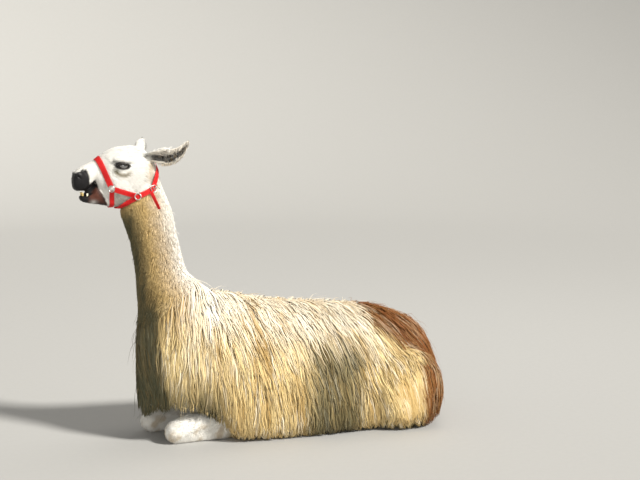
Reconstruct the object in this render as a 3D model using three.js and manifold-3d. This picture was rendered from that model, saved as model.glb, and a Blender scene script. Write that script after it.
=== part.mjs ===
// A llama lying down with its legs folded under it (the "kush" posture), its neck upright and a halter
// on its head, at life size. Millimetres, +Z up, the head towards -X, the animal's left side towards -Y.
// The origin is on the floor under the middle of the belly.
//
// Every body form is a loft: a few named key sections, each with the two ends of its midline chord, its
// half width and its roundness, with a smooth curve through every one of those figures. The solids hold
// the animal's outline out to the tips of its coat, and are parted by thin cuts between the named parts.
import * as THREE from "three";
import { mergeVertices } from "three/addons/utils/BufferGeometryUtils.js";
import Module from "manifold-3d";

const wasm = await Module();
wasm.setup();

// ---------------------------------------------------------------- driving dimensions (mm)
const GAP = 0.35; // between neighbouring solids
const FLOOR = 0; // level of every flat that the animal rests on
const LEFT = -1;
const RIGHT = 1;

// Key sections: a = [x, z] of the upper or front end of the chord, b = [x, z] of the lower or back end,
// half = half width, round = roundness of the a side and of the b side (2 is an ellipse, more is boxier),
// wide = where along the chord, from b to a, the section is widest.
const TRUNK = [
  { part: "brisket tip", a: [-740, 420], b: [-740, 190], half: 28, round: [2, 2], wide: 0.5 },
  { part: "brisket front", a: [-734, 500], b: [-734, 106], half: 84, round: [2, 2.6], wide: 0.5 },
  { part: "point of shoulder", a: [-706, 560], b: [-706, 100], half: 142, round: [2, 2.4], wide: 0.44 },
  { part: "shoulder", a: [-640, 592], b: [-640, 132], half: 194, round: [2, 2.2], wide: 0.43 },
  { part: "withers", a: [-530, 612], b: [-530, 130], half: 232, round: [2, 2.2], wide: 0.42 },
  { part: "elbow", a: [-452, 612], b: [-452, 84], half: 247, round: [2, 2.6], wide: 0.38 },
  { part: "girth", a: [-380, 604], b: [-380, 6], half: 255, round: [2, 3.4], wide: 0.36 },
  { part: "ribs", a: [-216, 566], b: [-216, -3], half: 267, round: [2, 4], wide: 0.34 },
  { part: "loin", a: [40, 537], b: [40, -3], half: 276, round: [2, 4], wide: 0.34 },
  { part: "hip", a: [250, 511], b: [250, -3], half: 278, round: [2, 4], wide: 0.34 },
  { part: "croup", a: [390, 470], b: [390, -3], half: 262, round: [2, 3.6], wide: 0.34 },
  { part: "rump", a: [480, 404], b: [480, -2], half: 222, round: [2, 3.2], wide: 0.36 },
  { part: "buttock", a: [539, 288], b: [541, 3], half: 158, round: [2, 2.8], wide: 0.4 },
  { part: "buttock back", a: [569, 190], b: [569, 16], half: 90, round: [2, 2.2], wide: 0.45 },
  { part: "buttock tip", a: [578, 122], b: [578, 52], half: 26, round: [2, 2], wide: 0.5 },
];
const NECK = [
  { part: "neck root", a: [-700, 360], b: [-420, 440], half: 176, round: [2, 2], wide: 0.55 },
  { part: "neck base", a: [-746, 480], b: [-430, 602], half: 160, round: [2, 2], wide: 0.55 },
  { part: "lower neck", a: [-751, 566], b: [-490, 650], half: 132, round: [2, 2], wide: 0.52 },
  { part: "above withers", a: [-756, 650], b: [-531, 692], half: 110, round: [2, 2], wide: 0.5 },
  { part: "mid neck", a: [-761, 715], b: [-546, 752], half: 99, round: [2, 2], wide: 0.5 },
  { part: "upper neck", a: [-774, 815], b: [-569, 850], half: 90, round: [2, 2], wide: 0.5 },
  { part: "throat latch", a: [-790, 880], b: [-584, 930], half: 84, round: [2, 2], wide: 0.5 },
  { part: "behind jaw", a: [-803, 932], b: [-604, 985], half: 79, round: [2, 2], wide: 0.5 },
  { part: "nape", a: [-796, 985], b: [-625, 1035], half: 72, round: [2, 2], wide: 0.5 },
  { part: "under poll", a: [-775, 1050], b: [-646, 1082], half: 58, round: [2, 2], wide: 0.5 },
];
const HEAD = [
  { part: "nose tip", a: [-989, 1072], b: [-989, 1046], half: 11, round: [2, 2], wide: 0.5 },
  { part: "nose front", a: [-985, 1088], b: [-984, 1030], half: 26, round: [2.3, 2.3], wide: 0.5 },
  { part: "nostrils", a: [-970, 1106], b: [-970, 1021], half: 35, round: [2.2, 2.4], wide: 0.5 },
  { part: "upper lip", a: [-948, 1120], b: [-946, 1021], half: 40, round: [2.2, 2.6], wide: 0.45 },
  { part: "lip back", a: [-926, 1130], b: [-923, 1036], half: 41, round: [2.2, 2.4], wide: 0.45 },
  { part: "mouth corner", a: [-908, 1138], b: [-904, 1052], half: 42, round: [2.2, 2.3], wide: 0.45 },
  { part: "cheek front", a: [-892, 1147], b: [-886, 1020], half: 45, round: [2.2, 2.2], wide: 0.5 },
  { part: "stop", a: [-874, 1163], b: [-864, 980], half: 52, round: [2.2, 2.2], wide: 0.55 },
  { part: "brow", a: [-847, 1181], b: [-842, 957], half: 64, round: [2.2, 2.1], wide: 0.6 },
  { part: "forehead", a: [-812, 1194], b: [-808, 948], half: 71, round: [2.2, 2], wide: 0.62 },
  { part: "crown", a: [-765, 1198], b: [-770, 948], half: 73, round: [2.2, 2], wide: 0.62 },
  { part: "poll", a: [-716, 1186], b: [-732, 958], half: 70, round: [2.1, 2], wide: 0.6 },
  { part: "behind ears", a: [-684, 1160], b: [-702, 978], half: 64, round: [2, 2], wide: 0.6 },
  { part: "nape crest", a: [-660, 1118], b: [-676, 1004], half: 54, round: [2, 2], wide: 0.55 },
  { part: "nape end", a: [-648, 1088], b: [-656, 1040], half: 30, round: [2, 2], wide: 0.5 },
];
const JAW = [
  { part: "lower lip tip", a: [-963, 1000], b: [-963, 991], half: 8, round: [2, 2], wide: 0.5 },
  { part: "lower lip", a: [-957, 1005], b: [-955, 980], half: 20, round: [2.2, 2], wide: 0.5 },
  { part: "chin", a: [-938, 1006], b: [-936, 972], half: 27, round: [2.4, 2], wide: 0.5 },
  { part: "jaw bar", a: [-914, 1018], b: [-912, 968], half: 33, round: [2.4, 2], wide: 0.5 },
  { part: "lip corner", a: [-898, 1046], b: [-893, 964], half: 38, round: [2.2, 2], wide: 0.5 },
  { part: "jaw middle", a: [-872, 1040], b: [-868, 960], half: 39, round: [2, 2], wide: 0.5 },
  { part: "jaw angle", a: [-846, 1018], b: [-846, 954], half: 41, round: [2, 2], wide: 0.5 },
  { part: "jaw root", a: [-824, 1000], b: [-824, 958], half: 30, round: [2, 2], wide: 0.5 },
];
const TAIL = [
  { part: "tail root", a: [440, 448], b: [420, 380], half: 34, round: [2, 2], wide: 0.5 },
  { part: "tail bend", a: [502, 408], b: [470, 350], half: 46, round: [2, 2], wide: 0.5 },
  { part: "tail middle", a: [556, 306], b: [514, 266], half: 52, round: [2, 2], wide: 0.5 },
  { part: "tail fall", a: [586, 212], b: [545, 200], half: 54, round: [2, 2], wide: 0.5 },
  { part: "tail tassel", a: [597, 130], b: [566, 126], half: 42, round: [2, 2], wide: 0.5 },
  { part: "tail tip", a: [592, 66], b: [580, 66], half: 12, round: [2, 2], wide: 0.5 },
];
// The folded legs lie under the coat, each one as rounded stretches in its own upright plane.
const FORELEG_Y = 100; // from the middle of the chest to each foreleg
const FAR_KNEE_FORWARD = 52; // how much further forward the right knee lies
const FOREARM = [
  { part: "elbow", a: [-380, 146], b: [-372, 70], half: 44, round: [2, 2], wide: 0.5 },
  { part: "forearm", a: [-450, 120], b: [-446, 42], half: 47, round: [2, 2], wide: 0.5 },
  { part: "above knee", a: [-544, 117], b: [-540, 28], half: 49, round: [2, 2], wide: 0.5 },
  { part: "knee", a: [-614, 102], b: [-606, 4], half: 52, round: [2, 2], wide: 0.5 },
  { part: "knee front", a: [-646, 82], b: [-642, 8], half: 44, round: [2, 2], wide: 0.5 },
  { part: "knee tip", a: [-660, 56], b: [-659, 28], half: 18, round: [2, 2], wide: 0.5 },
];
const FORE_CANNON = [
  { part: "knee end", a: [-628, 60], b: [-628, -3], half: 40, round: [2, 2], wide: 0.5 },
  { part: "cannon", a: [-540, 56], b: [-540, -3], half: 33, round: [2, 2], wide: 0.5 },
  { part: "fetlock", a: [-430, 60], b: [-430, -3], half: 35, round: [2, 2], wide: 0.5 },
  { part: "pastern", a: [-388, 52], b: [-388, -3], half: 31, round: [2, 2], wide: 0.5 },
  { part: "foot", a: [-350, 50], b: [-350, -3], half: 36, round: [2, 2.4], wide: 0.45 },
  { part: "toes", a: [-318, 40], b: [-318, 0], half: 31, round: [2, 2.4], wide: 0.45 },
  { part: "toe tip", a: [-304, 28], b: [-304, 8], half: 20, round: [2, 2], wide: 0.5 },
];
const HIND_LEG_Y = 118; // from the middle of the belly to each hind cannon
const HIND_CANNON = [
  { part: "hock tip", a: [486, 72], b: [486, 18], half: 22, round: [2, 2], wide: 0.5 },
  { part: "hock", a: [462, 92], b: [462, -3], half: 36, round: [2, 2.2], wide: 0.5 },
  { part: "hind cannon", a: [340, 66], b: [340, -3], half: 32, round: [2, 2], wide: 0.5 },
  { part: "hind fetlock", a: [200, 66], b: [200, -3], half: 35, round: [2, 2], wide: 0.5 },
  { part: "hind pastern", a: [156, 58], b: [156, -3], half: 31, round: [2, 2], wide: 0.5 },
  { part: "hind foot", a: [116, 54], b: [116, -3], half: 37, round: [2, 2.4], wide: 0.45 },
  { part: "hind toes", a: [82, 42], b: [82, 0], half: 32, round: [2, 2.4], wide: 0.45 },
  { part: "hind toe tip", a: [68, 30], b: [68, 8], half: 20, round: [2, 2], wide: 0.5 },
];
const HAUNCH = { centre: [352, 204, 156], radii: [186, 130, 196] };
const TOENAIL = { length: 20, radius: 8, spread: 13, height: 20, sink: 6, shoulder: [0.75, 0.55] };
const FORE_TOE_END = -304;
const HIND_TOE_END = 68;

// Rounded forms raised on the head, and hollows sunk in it, as ellipsoids turned about Y.
const BROW = { centre: [-802, 56, 1142], radii: [36, 16, 13], tilt: 0.12 };
const CHEEK = { centre: [-800, 42, 1042], radii: [58, 30, 58], tilt: 0 };
const NOSTRIL_WING = { centre: [-966, 25, 1084], radii: [20, 13, 15], tilt: 0.6 };
const NOSTRIL = { centre: [-966, 37, 1079], radii: [12, 6, 4], tilt: 0.7 };
const LIP_CLEFT = { centre: [-990, 0, 1036], radii: [8, 2.4, 18], tilt: 0 };
const EYE = { centre: [-797, 52, 1119], radii: [21, 21, 21], tilt: 0 };
const EYE_OPENING = { centre: [-798, 75, 1119], radii: [26, 15, 14], tilt: -0.12 };

// An ear's midline from root to tip, its width along it, and the way its hollow side faces.
// fade is the half width under which an ear grows thinner and flatter towards its tip.
const EAR = { thickness: 5, cup: 15, fade: 20, tip: 0.35, inside: 0.93, steps: 8, arc: 5 };
const LEFT_EAR = {
  path: [[-712, -48, 1146], [-676, -70, 1150], [-630, -86, 1150], [-584, -95, 1165], [-543, -94, 1211]],
  widths: [30, 48, 62, 48, 7],
  facing: [0.1, -1, -0.3],
};
const RIGHT_EAR = {
  path: [[-712, 46, 1146], [-706, 74, 1166], [-696, 106, 1182], [-684, 140, 1196], [-667, 172, 1213]],
  widths: [28, 38, 43, 31, 6],
  facing: [-0.25, 0.25, -1],
};
const INCISORS = { front: -967, back: -930, half: 18, z: [1000, 1013], teeth: 6, notch: 0.07, steps: 3 };

// The halter, by the places on the side of the head that its straps run between.
const WEBBING = { width: 23, thickness: 2.6 };
const NARROWER = { chin: 4, throat: 3, crown: 2, cheek: 2 }; // than the noseband
const OVERRUN = { nose: 10, loop: 8, side: 4, end: 0 }; // of a strap past the places it runs between
const ACROSS = 240; // wider than the head, for shapes that cut through both of its sides
const WIRE_RING = { radius: 11, wire: 2.1, sides: 6, steps: 12 };
const FRONT_RING = [-845, 1031]; // the noseband, chin strap and cheek strap meet here
const REAR_RING = [-743, 997]; // the cheek, throat and crown straps meet here
const BUCKLE = [-682, 1026];
const BUCKLE_FRAME = { length: 26, height: 29, rim: 3, thickness: 3 };
const NOSEBAND_TOP = [-892, 1151];
const CHIN = [-840, 950];
const THROAT = [-826, 942];
const NAPE = [-657, 1104];
const LOOSE_END = { from: [-694, 1016], to: [-661, 946], width: 15 };

// ---------------------------------------------------------------- lofts
const SIDES = { body: 18, head: 16, jaw: 10, tail: 10, leg: 10, haunch: 12, ball: 8, eye: 10, claw: 6 };
const BALL_RINGS = 0.6; // rings of a ball for each of its sides

// A smooth curve through y at places s that never swings past its neighbours (monotone cubic).
function curveThrough(s, y) {
  const slope = s.slice(1).map((v, i) => (y[i + 1] - y[i]) / (v - s[i]));
  const tangent = y.map((_, i) => {
    if (i === 0) return slope[0];
    if (i === y.length - 1) return slope[i - 1];
    return slope[i - 1] * slope[i] <= 0 ? 0 : (2 * slope[i - 1] * slope[i]) / (slope[i - 1] + slope[i]);
  });
  return (at) => {
    let i = 0;
    while (i < s.length - 2 && at > s[i + 1]) i++;
    const h = s[i + 1] - s[i];
    const t = (at - s[i]) / h;
    const rise = (3 - 2 * t) * t * t;
    return y[i] + (y[i + 1] - y[i]) * rise
      + h * (tangent[i] * t * (1 - t) ** 2 - tangent[i + 1] * t * t * (1 - t));
  };
}

// One section's points, counter-clockwise round its chord; grow moves them outwards.
function sectionPoints(section, sides, grow) {
  const a = new THREE.Vector2(...section.a);
  const b = new THREE.Vector2(...section.b);
  const up = a.clone().sub(b).normalize();
  a.addScaledVector(up, grow);
  b.addScaledVector(up, -grow);
  const middle = b.clone().lerp(a, section.wide);
  return Array.from({ length: sides }, (_, k) => {
    const turn = (2 * Math.PI * k) / sides;
    const [c, s] = [Math.cos(turn), Math.sin(turn)];
    const power = 2 / section.round[s >= 0 ? 0 : 1];
    const reach = (s >= 0 ? a : b).distanceTo(middle) * Math.sign(s) * Math.abs(s) ** power;
    const across = (section.half + grow) * Math.sign(c) * Math.abs(c) ** power;
    return new THREE.Vector3(middle.x + up.x * reach, across, middle.y + up.y * reach);
  });
}

// A closed mesh over rings of equal length, with a fan over each end.
function skinOver(rings) {
  const sides = rings[0].length;
  const centre = (ring) => ring.reduce((sum, p) => sum.add(p), new THREE.Vector3()).divideScalar(sides);
  const points = [...rings.flat(), centre(rings[0]), centre(rings.at(-1))];
  const [first, last] = [points.length - 2, points.length - 1];
  const faces = [];
  for (let i = 0; i < rings.length - 1; i++)
    for (let k = 0; k < sides; k++) {
      const [p, q] = [i * sides + k, i * sides + ((k + 1) % sides)];
      faces.push(p, q, p + sides, q, q + sides, p + sides);
    }
  for (let k = 0; k < sides; k++) {
    const next = (k + 1) % sides;
    const end = (rings.length - 1) * sides;
    faces.push(first, next, k, last, end + k, end + next);
  }
  const geometry = new THREE.BufferGeometry().setFromPoints(points);
  return geometry.setIndex(faces);
}

// A loft through key sections, with steps rings between each two of them.
function loft(keys, { sides = SIDES.body, steps = 2, grow = 0 } = {}) {
  const place = keys.map((_, i) => i);
  const figure = (read) => curveThrough(place, keys.map(read));
  const read = {
    ax: figure((k) => k.a[0]), az: figure((k) => k.a[1]),
    bx: figure((k) => k.b[0]), bz: figure((k) => k.b[1]),
    half: figure((k) => k.half), wide: figure((k) => k.wide),
    roundA: figure((k) => k.round[0]), roundB: figure((k) => k.round[1]),
  };
  const rings = [];
  for (let i = 0; i <= (keys.length - 1) * steps; i++) {
    const at = i / steps;
    rings.push(sectionPoints({
      a: [read.ax(at), read.az(at)], b: [read.bx(at), read.bz(at)],
      half: read.half(at), wide: read.wide(at), round: [read.roundA(at), read.roundB(at)],
    }, sides, grow));
  }
  return solid(skinOver(rings));
}

// ---------------------------------------------------------------- solids
function solid(geometry) {
  const bare = geometry.index ? geometry.toNonIndexed() : geometry.clone();
  bare.deleteAttribute("normal");
  bare.deleteAttribute("uv");
  const merged = mergeVertices(bare, 1e-4);
  const make = (order) => new wasm.Manifold(new wasm.Mesh({
    numProp: 3,
    vertProperties: merged.attributes.position.array,
    triVerts: order,
  }));
  const order = new Uint32Array(merged.index.array);
  const made = make(order);
  if (made.volume() > 0) return made;
  for (let i = 0; i < order.length; i += 3) [order[i + 1], order[i + 2]] = [order[i + 2], order[i + 1]];
  return make(order);
}

function meshOf(name, shape, material) {
  const { numProp, numVert, vertProperties, triVerts } = shape.getMesh();
  const positions = new Float32Array(numVert * 3);
  for (let i = 0; i < numVert; i++)
    positions.set(vertProperties.subarray(i * numProp, i * numProp + 3), i * 3);
  const geometry = new THREE.BufferGeometry()
    .setAttribute("position", new THREE.BufferAttribute(positions, 3))
    .setIndex(new THREE.BufferAttribute(triVerts, 1));
  geometry.computeVertexNormals();
  const mesh = new THREE.Mesh(geometry, material);
  mesh.name = name;
  return mesh;
}

const largest = (shape) => shape.decompose().sort((p, q) => q.volume() - p.volume())[0];
const above = (shape, level) => shape.trimByPlane([0, 0, 1], level);

// The part of a shape on the headward side of a cut through two midline points, or on the other side.
function cutBetween(shape, front, back, headward) {
  const along = new THREE.Vector2(back[0] - front[0], back[1] - front[1]).normalize();
  const normal = [-along.y, 0, along.x];
  const offset = normal[0] * front[0] + normal[2] * front[1];
  return headward
    ? shape.trimByPlane(normal, offset + GAP / 2)
    : shape.trimByPlane(normal.map((v) => -v), -offset + GAP / 2);
}

// A sphere stretched to three radii and turned about Y; side mirrors it to the left or the right.
function ellipsoid({ centre, radii, tilt = 0 }, { side = RIGHT, grow = 0, across = SIDES.ball } = {}) {
  const geometry = new THREE.SphereGeometry(1, across, Math.round(across * BALL_RINGS));
  geometry.scale(...radii.map((r) => r + grow));
  geometry.rotateY(tilt);
  geometry.translate(centre[0], side * centre[1], centre[2]);
  return solid(geometry);
}

// ---------------------------------------------------------------- body
const SHOULDER_CUT = [[-760, 506], [-500, 686]];
const THROAT_CUT = [[-818, 936], [-630, 1100]];

const headForm = (grow) => loft(HEAD, { sides: SIDES.head, steps: 1, grow });
const neckForm = (grow) => loft(NECK, { steps: 1, grow });
const jawForm = (grow) => loft(JAW, { sides: SIDES.jaw, steps: 1, grow });
const tailForm = (grow) => loft(TAIL, { sides: SIDES.tail, steps: 1, grow });

function foreleg(side, grow) {
  const forward = side === RIGHT ? -FAR_KNEE_FORWARD : 0;
  const upper = loft(FOREARM, { sides: SIDES.leg, steps: 1, grow });
  const lower = loft(FORE_CANNON, { sides: SIDES.leg, steps: 1, grow });
  return upper.add(lower).translate([forward, side * FORELEG_Y, 0]);
}
const hindCannon = (side, grow) =>
  loft(HIND_CANNON, { sides: SIDES.leg, steps: 1, grow }).translate([0, side * HIND_LEG_Y, 0]);
const haunch = (side, grow) => ellipsoid(HAUNCH, { side, grow, across: SIDES.haunch });
const eyeballForm = (side, grow) => ellipsoid(EYE, { side, grow, across: SIDES.eye });

// Two blunt claws stand out of the toes of each foot, side by side.
function toenail({ toeEnd, ahead, legY }, side, inner, grow = 0) {
  const { spread, height, sink, shoulder } = TOENAIL;
  const [length, radius] = [TOENAIL.length + grow, TOENAIL.radius + grow];
  const profile = [[0, -grow], [radius, -grow], [radius * shoulder[0], length * shoulder[1]], [0, length]];
  const geometry = new THREE.LatheGeometry(profile.map((p) => new THREE.Vector2(...p)), SIDES.claw);
  geometry.rotateZ((-ahead * Math.PI) / 2);
  geometry.translate(toeEnd - ahead * sink, side * (legY + (inner ? -spread : spread)), height);
  return solid(geometry);
}
const FEET = (side) => [
  { name: "fore", toeEnd: FORE_TOE_END - (side === RIGHT ? FAR_KNEE_FORWARD : 0), ahead: 1, legY: FORELEG_Y },
  { name: "hind", toeEnd: HIND_TOE_END, ahead: -1, legY: HIND_LEG_Y },
];

const body = above(loft(TRUNK).add(neckForm(0)).add(headForm(0)), FLOOR);
const neck = cutBetween(cutBetween(body, ...THROAT_CUT, false), ...SHOULDER_CUT, true);
let head = cutBetween(body, ...THROAT_CUT, true);
let trunk = cutBetween(body, ...SHOULDER_CUT, false);
for (const side of [LEFT, RIGHT]) {
  trunk = trunk.subtract(foreleg(side, GAP)).subtract(haunch(side, GAP)).subtract(hindCannon(side, GAP));
  for (const foot of FEET(side))
    for (const inner of [true, false]) trunk = trunk.subtract(toenail(foot, side, inner, GAP));
  for (const form of [BROW, CHEEK, NOSTRIL_WING]) head = head.add(ellipsoid(form, { side }));
}
head = head.subtract(jawForm(GAP)).subtract(ellipsoid(LIP_CLEFT));
for (const side of [LEFT, RIGHT]) {
  for (const hollow of [EYE_OPENING, NOSTRIL]) head = head.subtract(ellipsoid(hollow, { side }));
  head = head.subtract(eyeballForm(side, GAP));
}
const jaw = cutBetween(jawForm(0), ...THROAT_CUT, true);
const tail = tailForm(0).subtract(loft(TRUNK, { grow: GAP }));

// ---------------------------------------------------------------- ears and teeth
// An ear is a cupped leaf: each of its sections is a crescent whose hollow side looks towards facing.
function ear({ path, widths, facing }, grow = 0) {
  const line = new THREE.CatmullRomCurve3(path.map((p) => new THREE.Vector3(...p)));
  const width = curveThrough(widths.map((_, i) => i / (widths.length - 1)), widths);
  const rings = [];
  for (let i = 0; i <= EAR.steps; i++) {
    const t = i / EAR.steps;
    const along = line.getTangentAt(t);
    const open = new THREE.Vector3(...facing);
    open.addScaledVector(along, -open.dot(along)).normalize();
    const across = along.clone().cross(open);
    const half = width(t) / 2 + grow;
    const fullness = Math.min(1, half / EAR.fade);
    const cup = EAR.cup * fullness;
    const thick = EAR.thickness * (EAR.tip + (1 - EAR.tip) * fullness) + 2 * grow;
    const point = (turn, out) => line.getPointAt(t).clone()
      .addScaledVector(across, half * Math.sin(turn))
      .addScaledVector(open, -cup * Math.cos(turn) - out);
    const turns = Array.from({ length: EAR.arc + 1 }, (_, k) => ((k / EAR.arc) * 2 - 1) * (Math.PI / 2));
    const back = turns.map((turn) => point(turn, thick / 2));
    const hollow = turns.reverse().map((turn) => point(turn * EAR.inside, -thick / 2));
    rings.push([...back, ...hollow]);
  }
  return solid(skinOver(rings));
}

// The lower front teeth stand in a shallow arc that leans forward over the lower lip.
function incisors() {
  const outline = new THREE.Shape();
  const reach = INCISORS.back - INCISORS.front;
  const steps = INCISORS.teeth * INCISORS.steps;
  for (let k = 0; k <= steps; k++) {
    const turn = (k / steps) * Math.PI;
    const scallop = 1 - INCISORS.notch * Math.abs(Math.cos(INCISORS.teeth * turn));
    const at = [-Math.sin(turn) * reach * scallop, Math.cos(turn) * INCISORS.half * scallop];
    if (k === 0) outline.moveTo(...at);
    else outline.lineTo(...at);
  }
  outline.closePath();
  const [low, high] = INCISORS.z;
  const geometry = new THREE.ExtrudeGeometry(outline, { depth: high - low, bevelEnabled: false });
  geometry.translate(INCISORS.back, 0, low);
  return solid(geometry).subtract(jawForm(GAP)).subtract(headForm(GAP));
}

// ---------------------------------------------------------------- halter
const halterCore = (grow) => headForm(grow).add(jawForm(grow)).add(neckForm(grow))
  .add(ellipsoid(CHEEK, { side: LEFT, grow })).add(ellipsoid(CHEEK, { side: RIGHT, grow }));
const webShell = halterCore(WEBBING.thickness + GAP).subtract(halterCore(GAP));

// A board on edge along the line from one midline place to another, across both sides or only one.
function board([from, to], width, { side = 0, lengthen = 0 } = {}) {
  const line = new THREE.Vector2(to[0] - from[0], to[1] - from[1]);
  const geometry = new THREE.BoxGeometry(line.length() + 2 * lengthen, side ? ACROSS / 2 : ACROSS, width);
  geometry.translate(0, (side * ACROSS) / 4, 0);
  geometry.rotateY(-line.angle());
  geometry.translate((from[0] + to[0]) / 2, 0, (from[1] + to[1]) / 2);
  return solid(geometry);
}

// Straps in the order they are laid: each one stops short of those laid before it.
const strap = (name, runs, narrower, lengthen, side = 0) =>
  ({ name, runs, width: WEBBING.width - narrower, lengthen, side });
const STRAPS = [
  strap("noseband", [[FRONT_RING, NOSEBAND_TOP]], 0, OVERRUN.nose),
  strap("chin_strap", [[FRONT_RING, CHIN]], NARROWER.chin, OVERRUN.loop),
  strap("throat_strap", [[REAR_RING, THROAT]], NARROWER.throat, OVERRUN.loop),
  strap("crown_strap", [[REAR_RING, BUCKLE], [BUCKLE, NAPE]], NARROWER.crown, OVERRUN.loop),
  strap("cheek_strap_left", [[FRONT_RING, REAR_RING]], NARROWER.cheek, OVERRUN.side, LEFT),
  strap("cheek_strap_right", [[FRONT_RING, REAR_RING]], NARROWER.cheek, OVERRUN.side, RIGHT),
  strap("loose_end", [[LOOSE_END.from, LOOSE_END.to]], WEBBING.width - LOOSE_END.width, OVERRUN.end, LEFT),
];
const boardsOf = ({ runs, width, lengthen, side }, grow) => runs
  .map((run) => board(run, width + 2 * grow, { side, lengthen: lengthen + grow }))
  .reduce((all, one) => all.add(one));

// The outer face of the webbing at a place on the side of the head, as a distance from the midline.
const PROBE = 4;
function webbingFace([x, z]) {
  const probe = new THREE.BoxGeometry(PROBE, ACROSS, PROBE).translate(x, 0, z);
  return webShell.intersect(solid(probe)).boundingBox().max[1];
}

// A flat piece of hardware, made round the origin in the XZ plane, laid on the webbing at a place.
function layOnWebbing(flat, [x, z], side, reach) {
  const [ahead, behind] = [webbingFace([x - reach, z]), webbingFace([x + reach, z])];
  const [below, over] = [webbingFace([x, z - reach]), webbingFace([x, z + reach])];
  const degrees = (rise) => (Math.atan2(rise, 2 * reach) * 180) / Math.PI;
  return flat
    .rotate([degrees(over - below) * -side, 0, degrees(behind - ahead) * side])
    .translate([x, (side * (ahead + behind + below + over)) / 4, z]);
}

function wireRing(place, side, grow = 0) {
  const { radius, wire, sides, steps } = WIRE_RING;
  const ring = new THREE.TorusGeometry(radius, wire + grow, sides, steps).rotateX(Math.PI / 2);
  return layOnWebbing(solid(ring), place, side, radius);
}

// The buckle is a flat frame with a bar down its middle.
function buckle(grow = 0) {
  const { length, height, rim, thickness } = BUCKLE_FRAME;
  const plate = (long, high, thick, along) =>
    solid(new THREE.BoxGeometry(long, thick, high).translate(along, 0, 0));
  const window = [(length - 3 * rim) / 2 - 2 * grow, height - 2 * rim - 2 * grow];
  const frame = plate(length + 2 * grow, height + 2 * grow, thickness + 2 * grow, 0)
    .subtract(plate(...window, ACROSS, (rim + window[0]) / 2 + grow))
    .subtract(plate(...window, ACROSS, -(rim + window[0]) / 2 - grow));
  const slope = Math.atan2(BUCKLE[1] - REAR_RING[1], BUCKLE[0] - REAR_RING[0]) * (180 / Math.PI);
  return layOnWebbing(frame.rotate([0, -slope, 0]), BUCKLE, LEFT, length / 2);
}

// ---------------------------------------------------------------- materials and the finished group
const finish = (color, roughness, metalness = 0) =>
  new THREE.MeshStandardMaterial({ color, roughness, metalness });
const creamCoat = finish(0xe9dcc0, 0.85);
const whiteCoat = finish(0xf3f0e8, 0.85);
const russetCoat = finish(0x8a4a26, 0.85);
const lipSkin = finish(0x5a3a30, 0.6);
const eyeball = finish(0x1c1310, 0.1);
const enamel = finish(0xe6dcb0, 0.4);
const horn = finish(0x2b2420, 0.5);
const redWebbing = finish(0xc8141a, 0.6);
const steel = finish(0xd8d8d4, 0.25, 1);

const llama = new THREE.Group();
const put = (name, shape, material) => llama.add(meshOf(name, largest(shape), material));

put("trunk", trunk, creamCoat);
put("neck", neck, creamCoat);
put("head", head, whiteCoat);
put("jaw", jaw, lipSkin);
put("tail", tail, russetCoat);
put("incisors", incisors(), enamel);
for (const [name, side, earShape] of [["left", LEFT, LEFT_EAR], ["right", RIGHT, RIGHT_EAR]]) {
  put(`ear_${name}`, ear(earShape).subtract(headForm(GAP)).subtract(neckForm(GAP)), whiteCoat);
  put(`eye_${name}`, eyeballForm(side, 0), eyeball);
  const thigh = body.intersect(haunch(side, 0)).subtract(tailForm(GAP));
  const legs = {
    fore: above(foreleg(side, 0), FLOOR),
    hind: above(thigh.add(hindCannon(side, 0)), FLOOR),
  };
  for (const foot of FEET(side))
    for (const inner of [true, false]) {
      put(`toenail_${foot.name}_${name}_${inner ? "inner" : "outer"}`, toenail(foot, side, inner), horn);
      legs[foot.name] = legs[foot.name].subtract(toenail(foot, side, inner, GAP));
    }
  put(`foreleg_${name}`, legs.fore, whiteCoat);
  put(`hind_leg_${name}`, legs.hind, creamCoat);
}

const rings = [];
for (const [name, place] of [["front_ring", FRONT_RING], ["rear_ring", REAR_RING]])
  for (const [sideName, side] of [["left", LEFT], ["right", RIGHT]]) {
    put(`${name}_${sideName}`, wireRing(place, side), steel);
    rings.push(wireRing(place, side, GAP));
  }
put("buckle", buckle(), steel);
rings.push(buckle(GAP));
const hardware = rings.reduce((all, one) => all.add(one));
const laid = [];
for (const one of STRAPS) {
  let web = webShell.intersect(boardsOf(one, 0)).subtract(hardware);
  for (const earlier of laid) web = web.subtract(boardsOf(earlier, GAP));
  put(one.name, web, redWebbing);
  laid.push(one);
}

export default llama;
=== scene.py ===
import math
from collections import namedtuple

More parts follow.
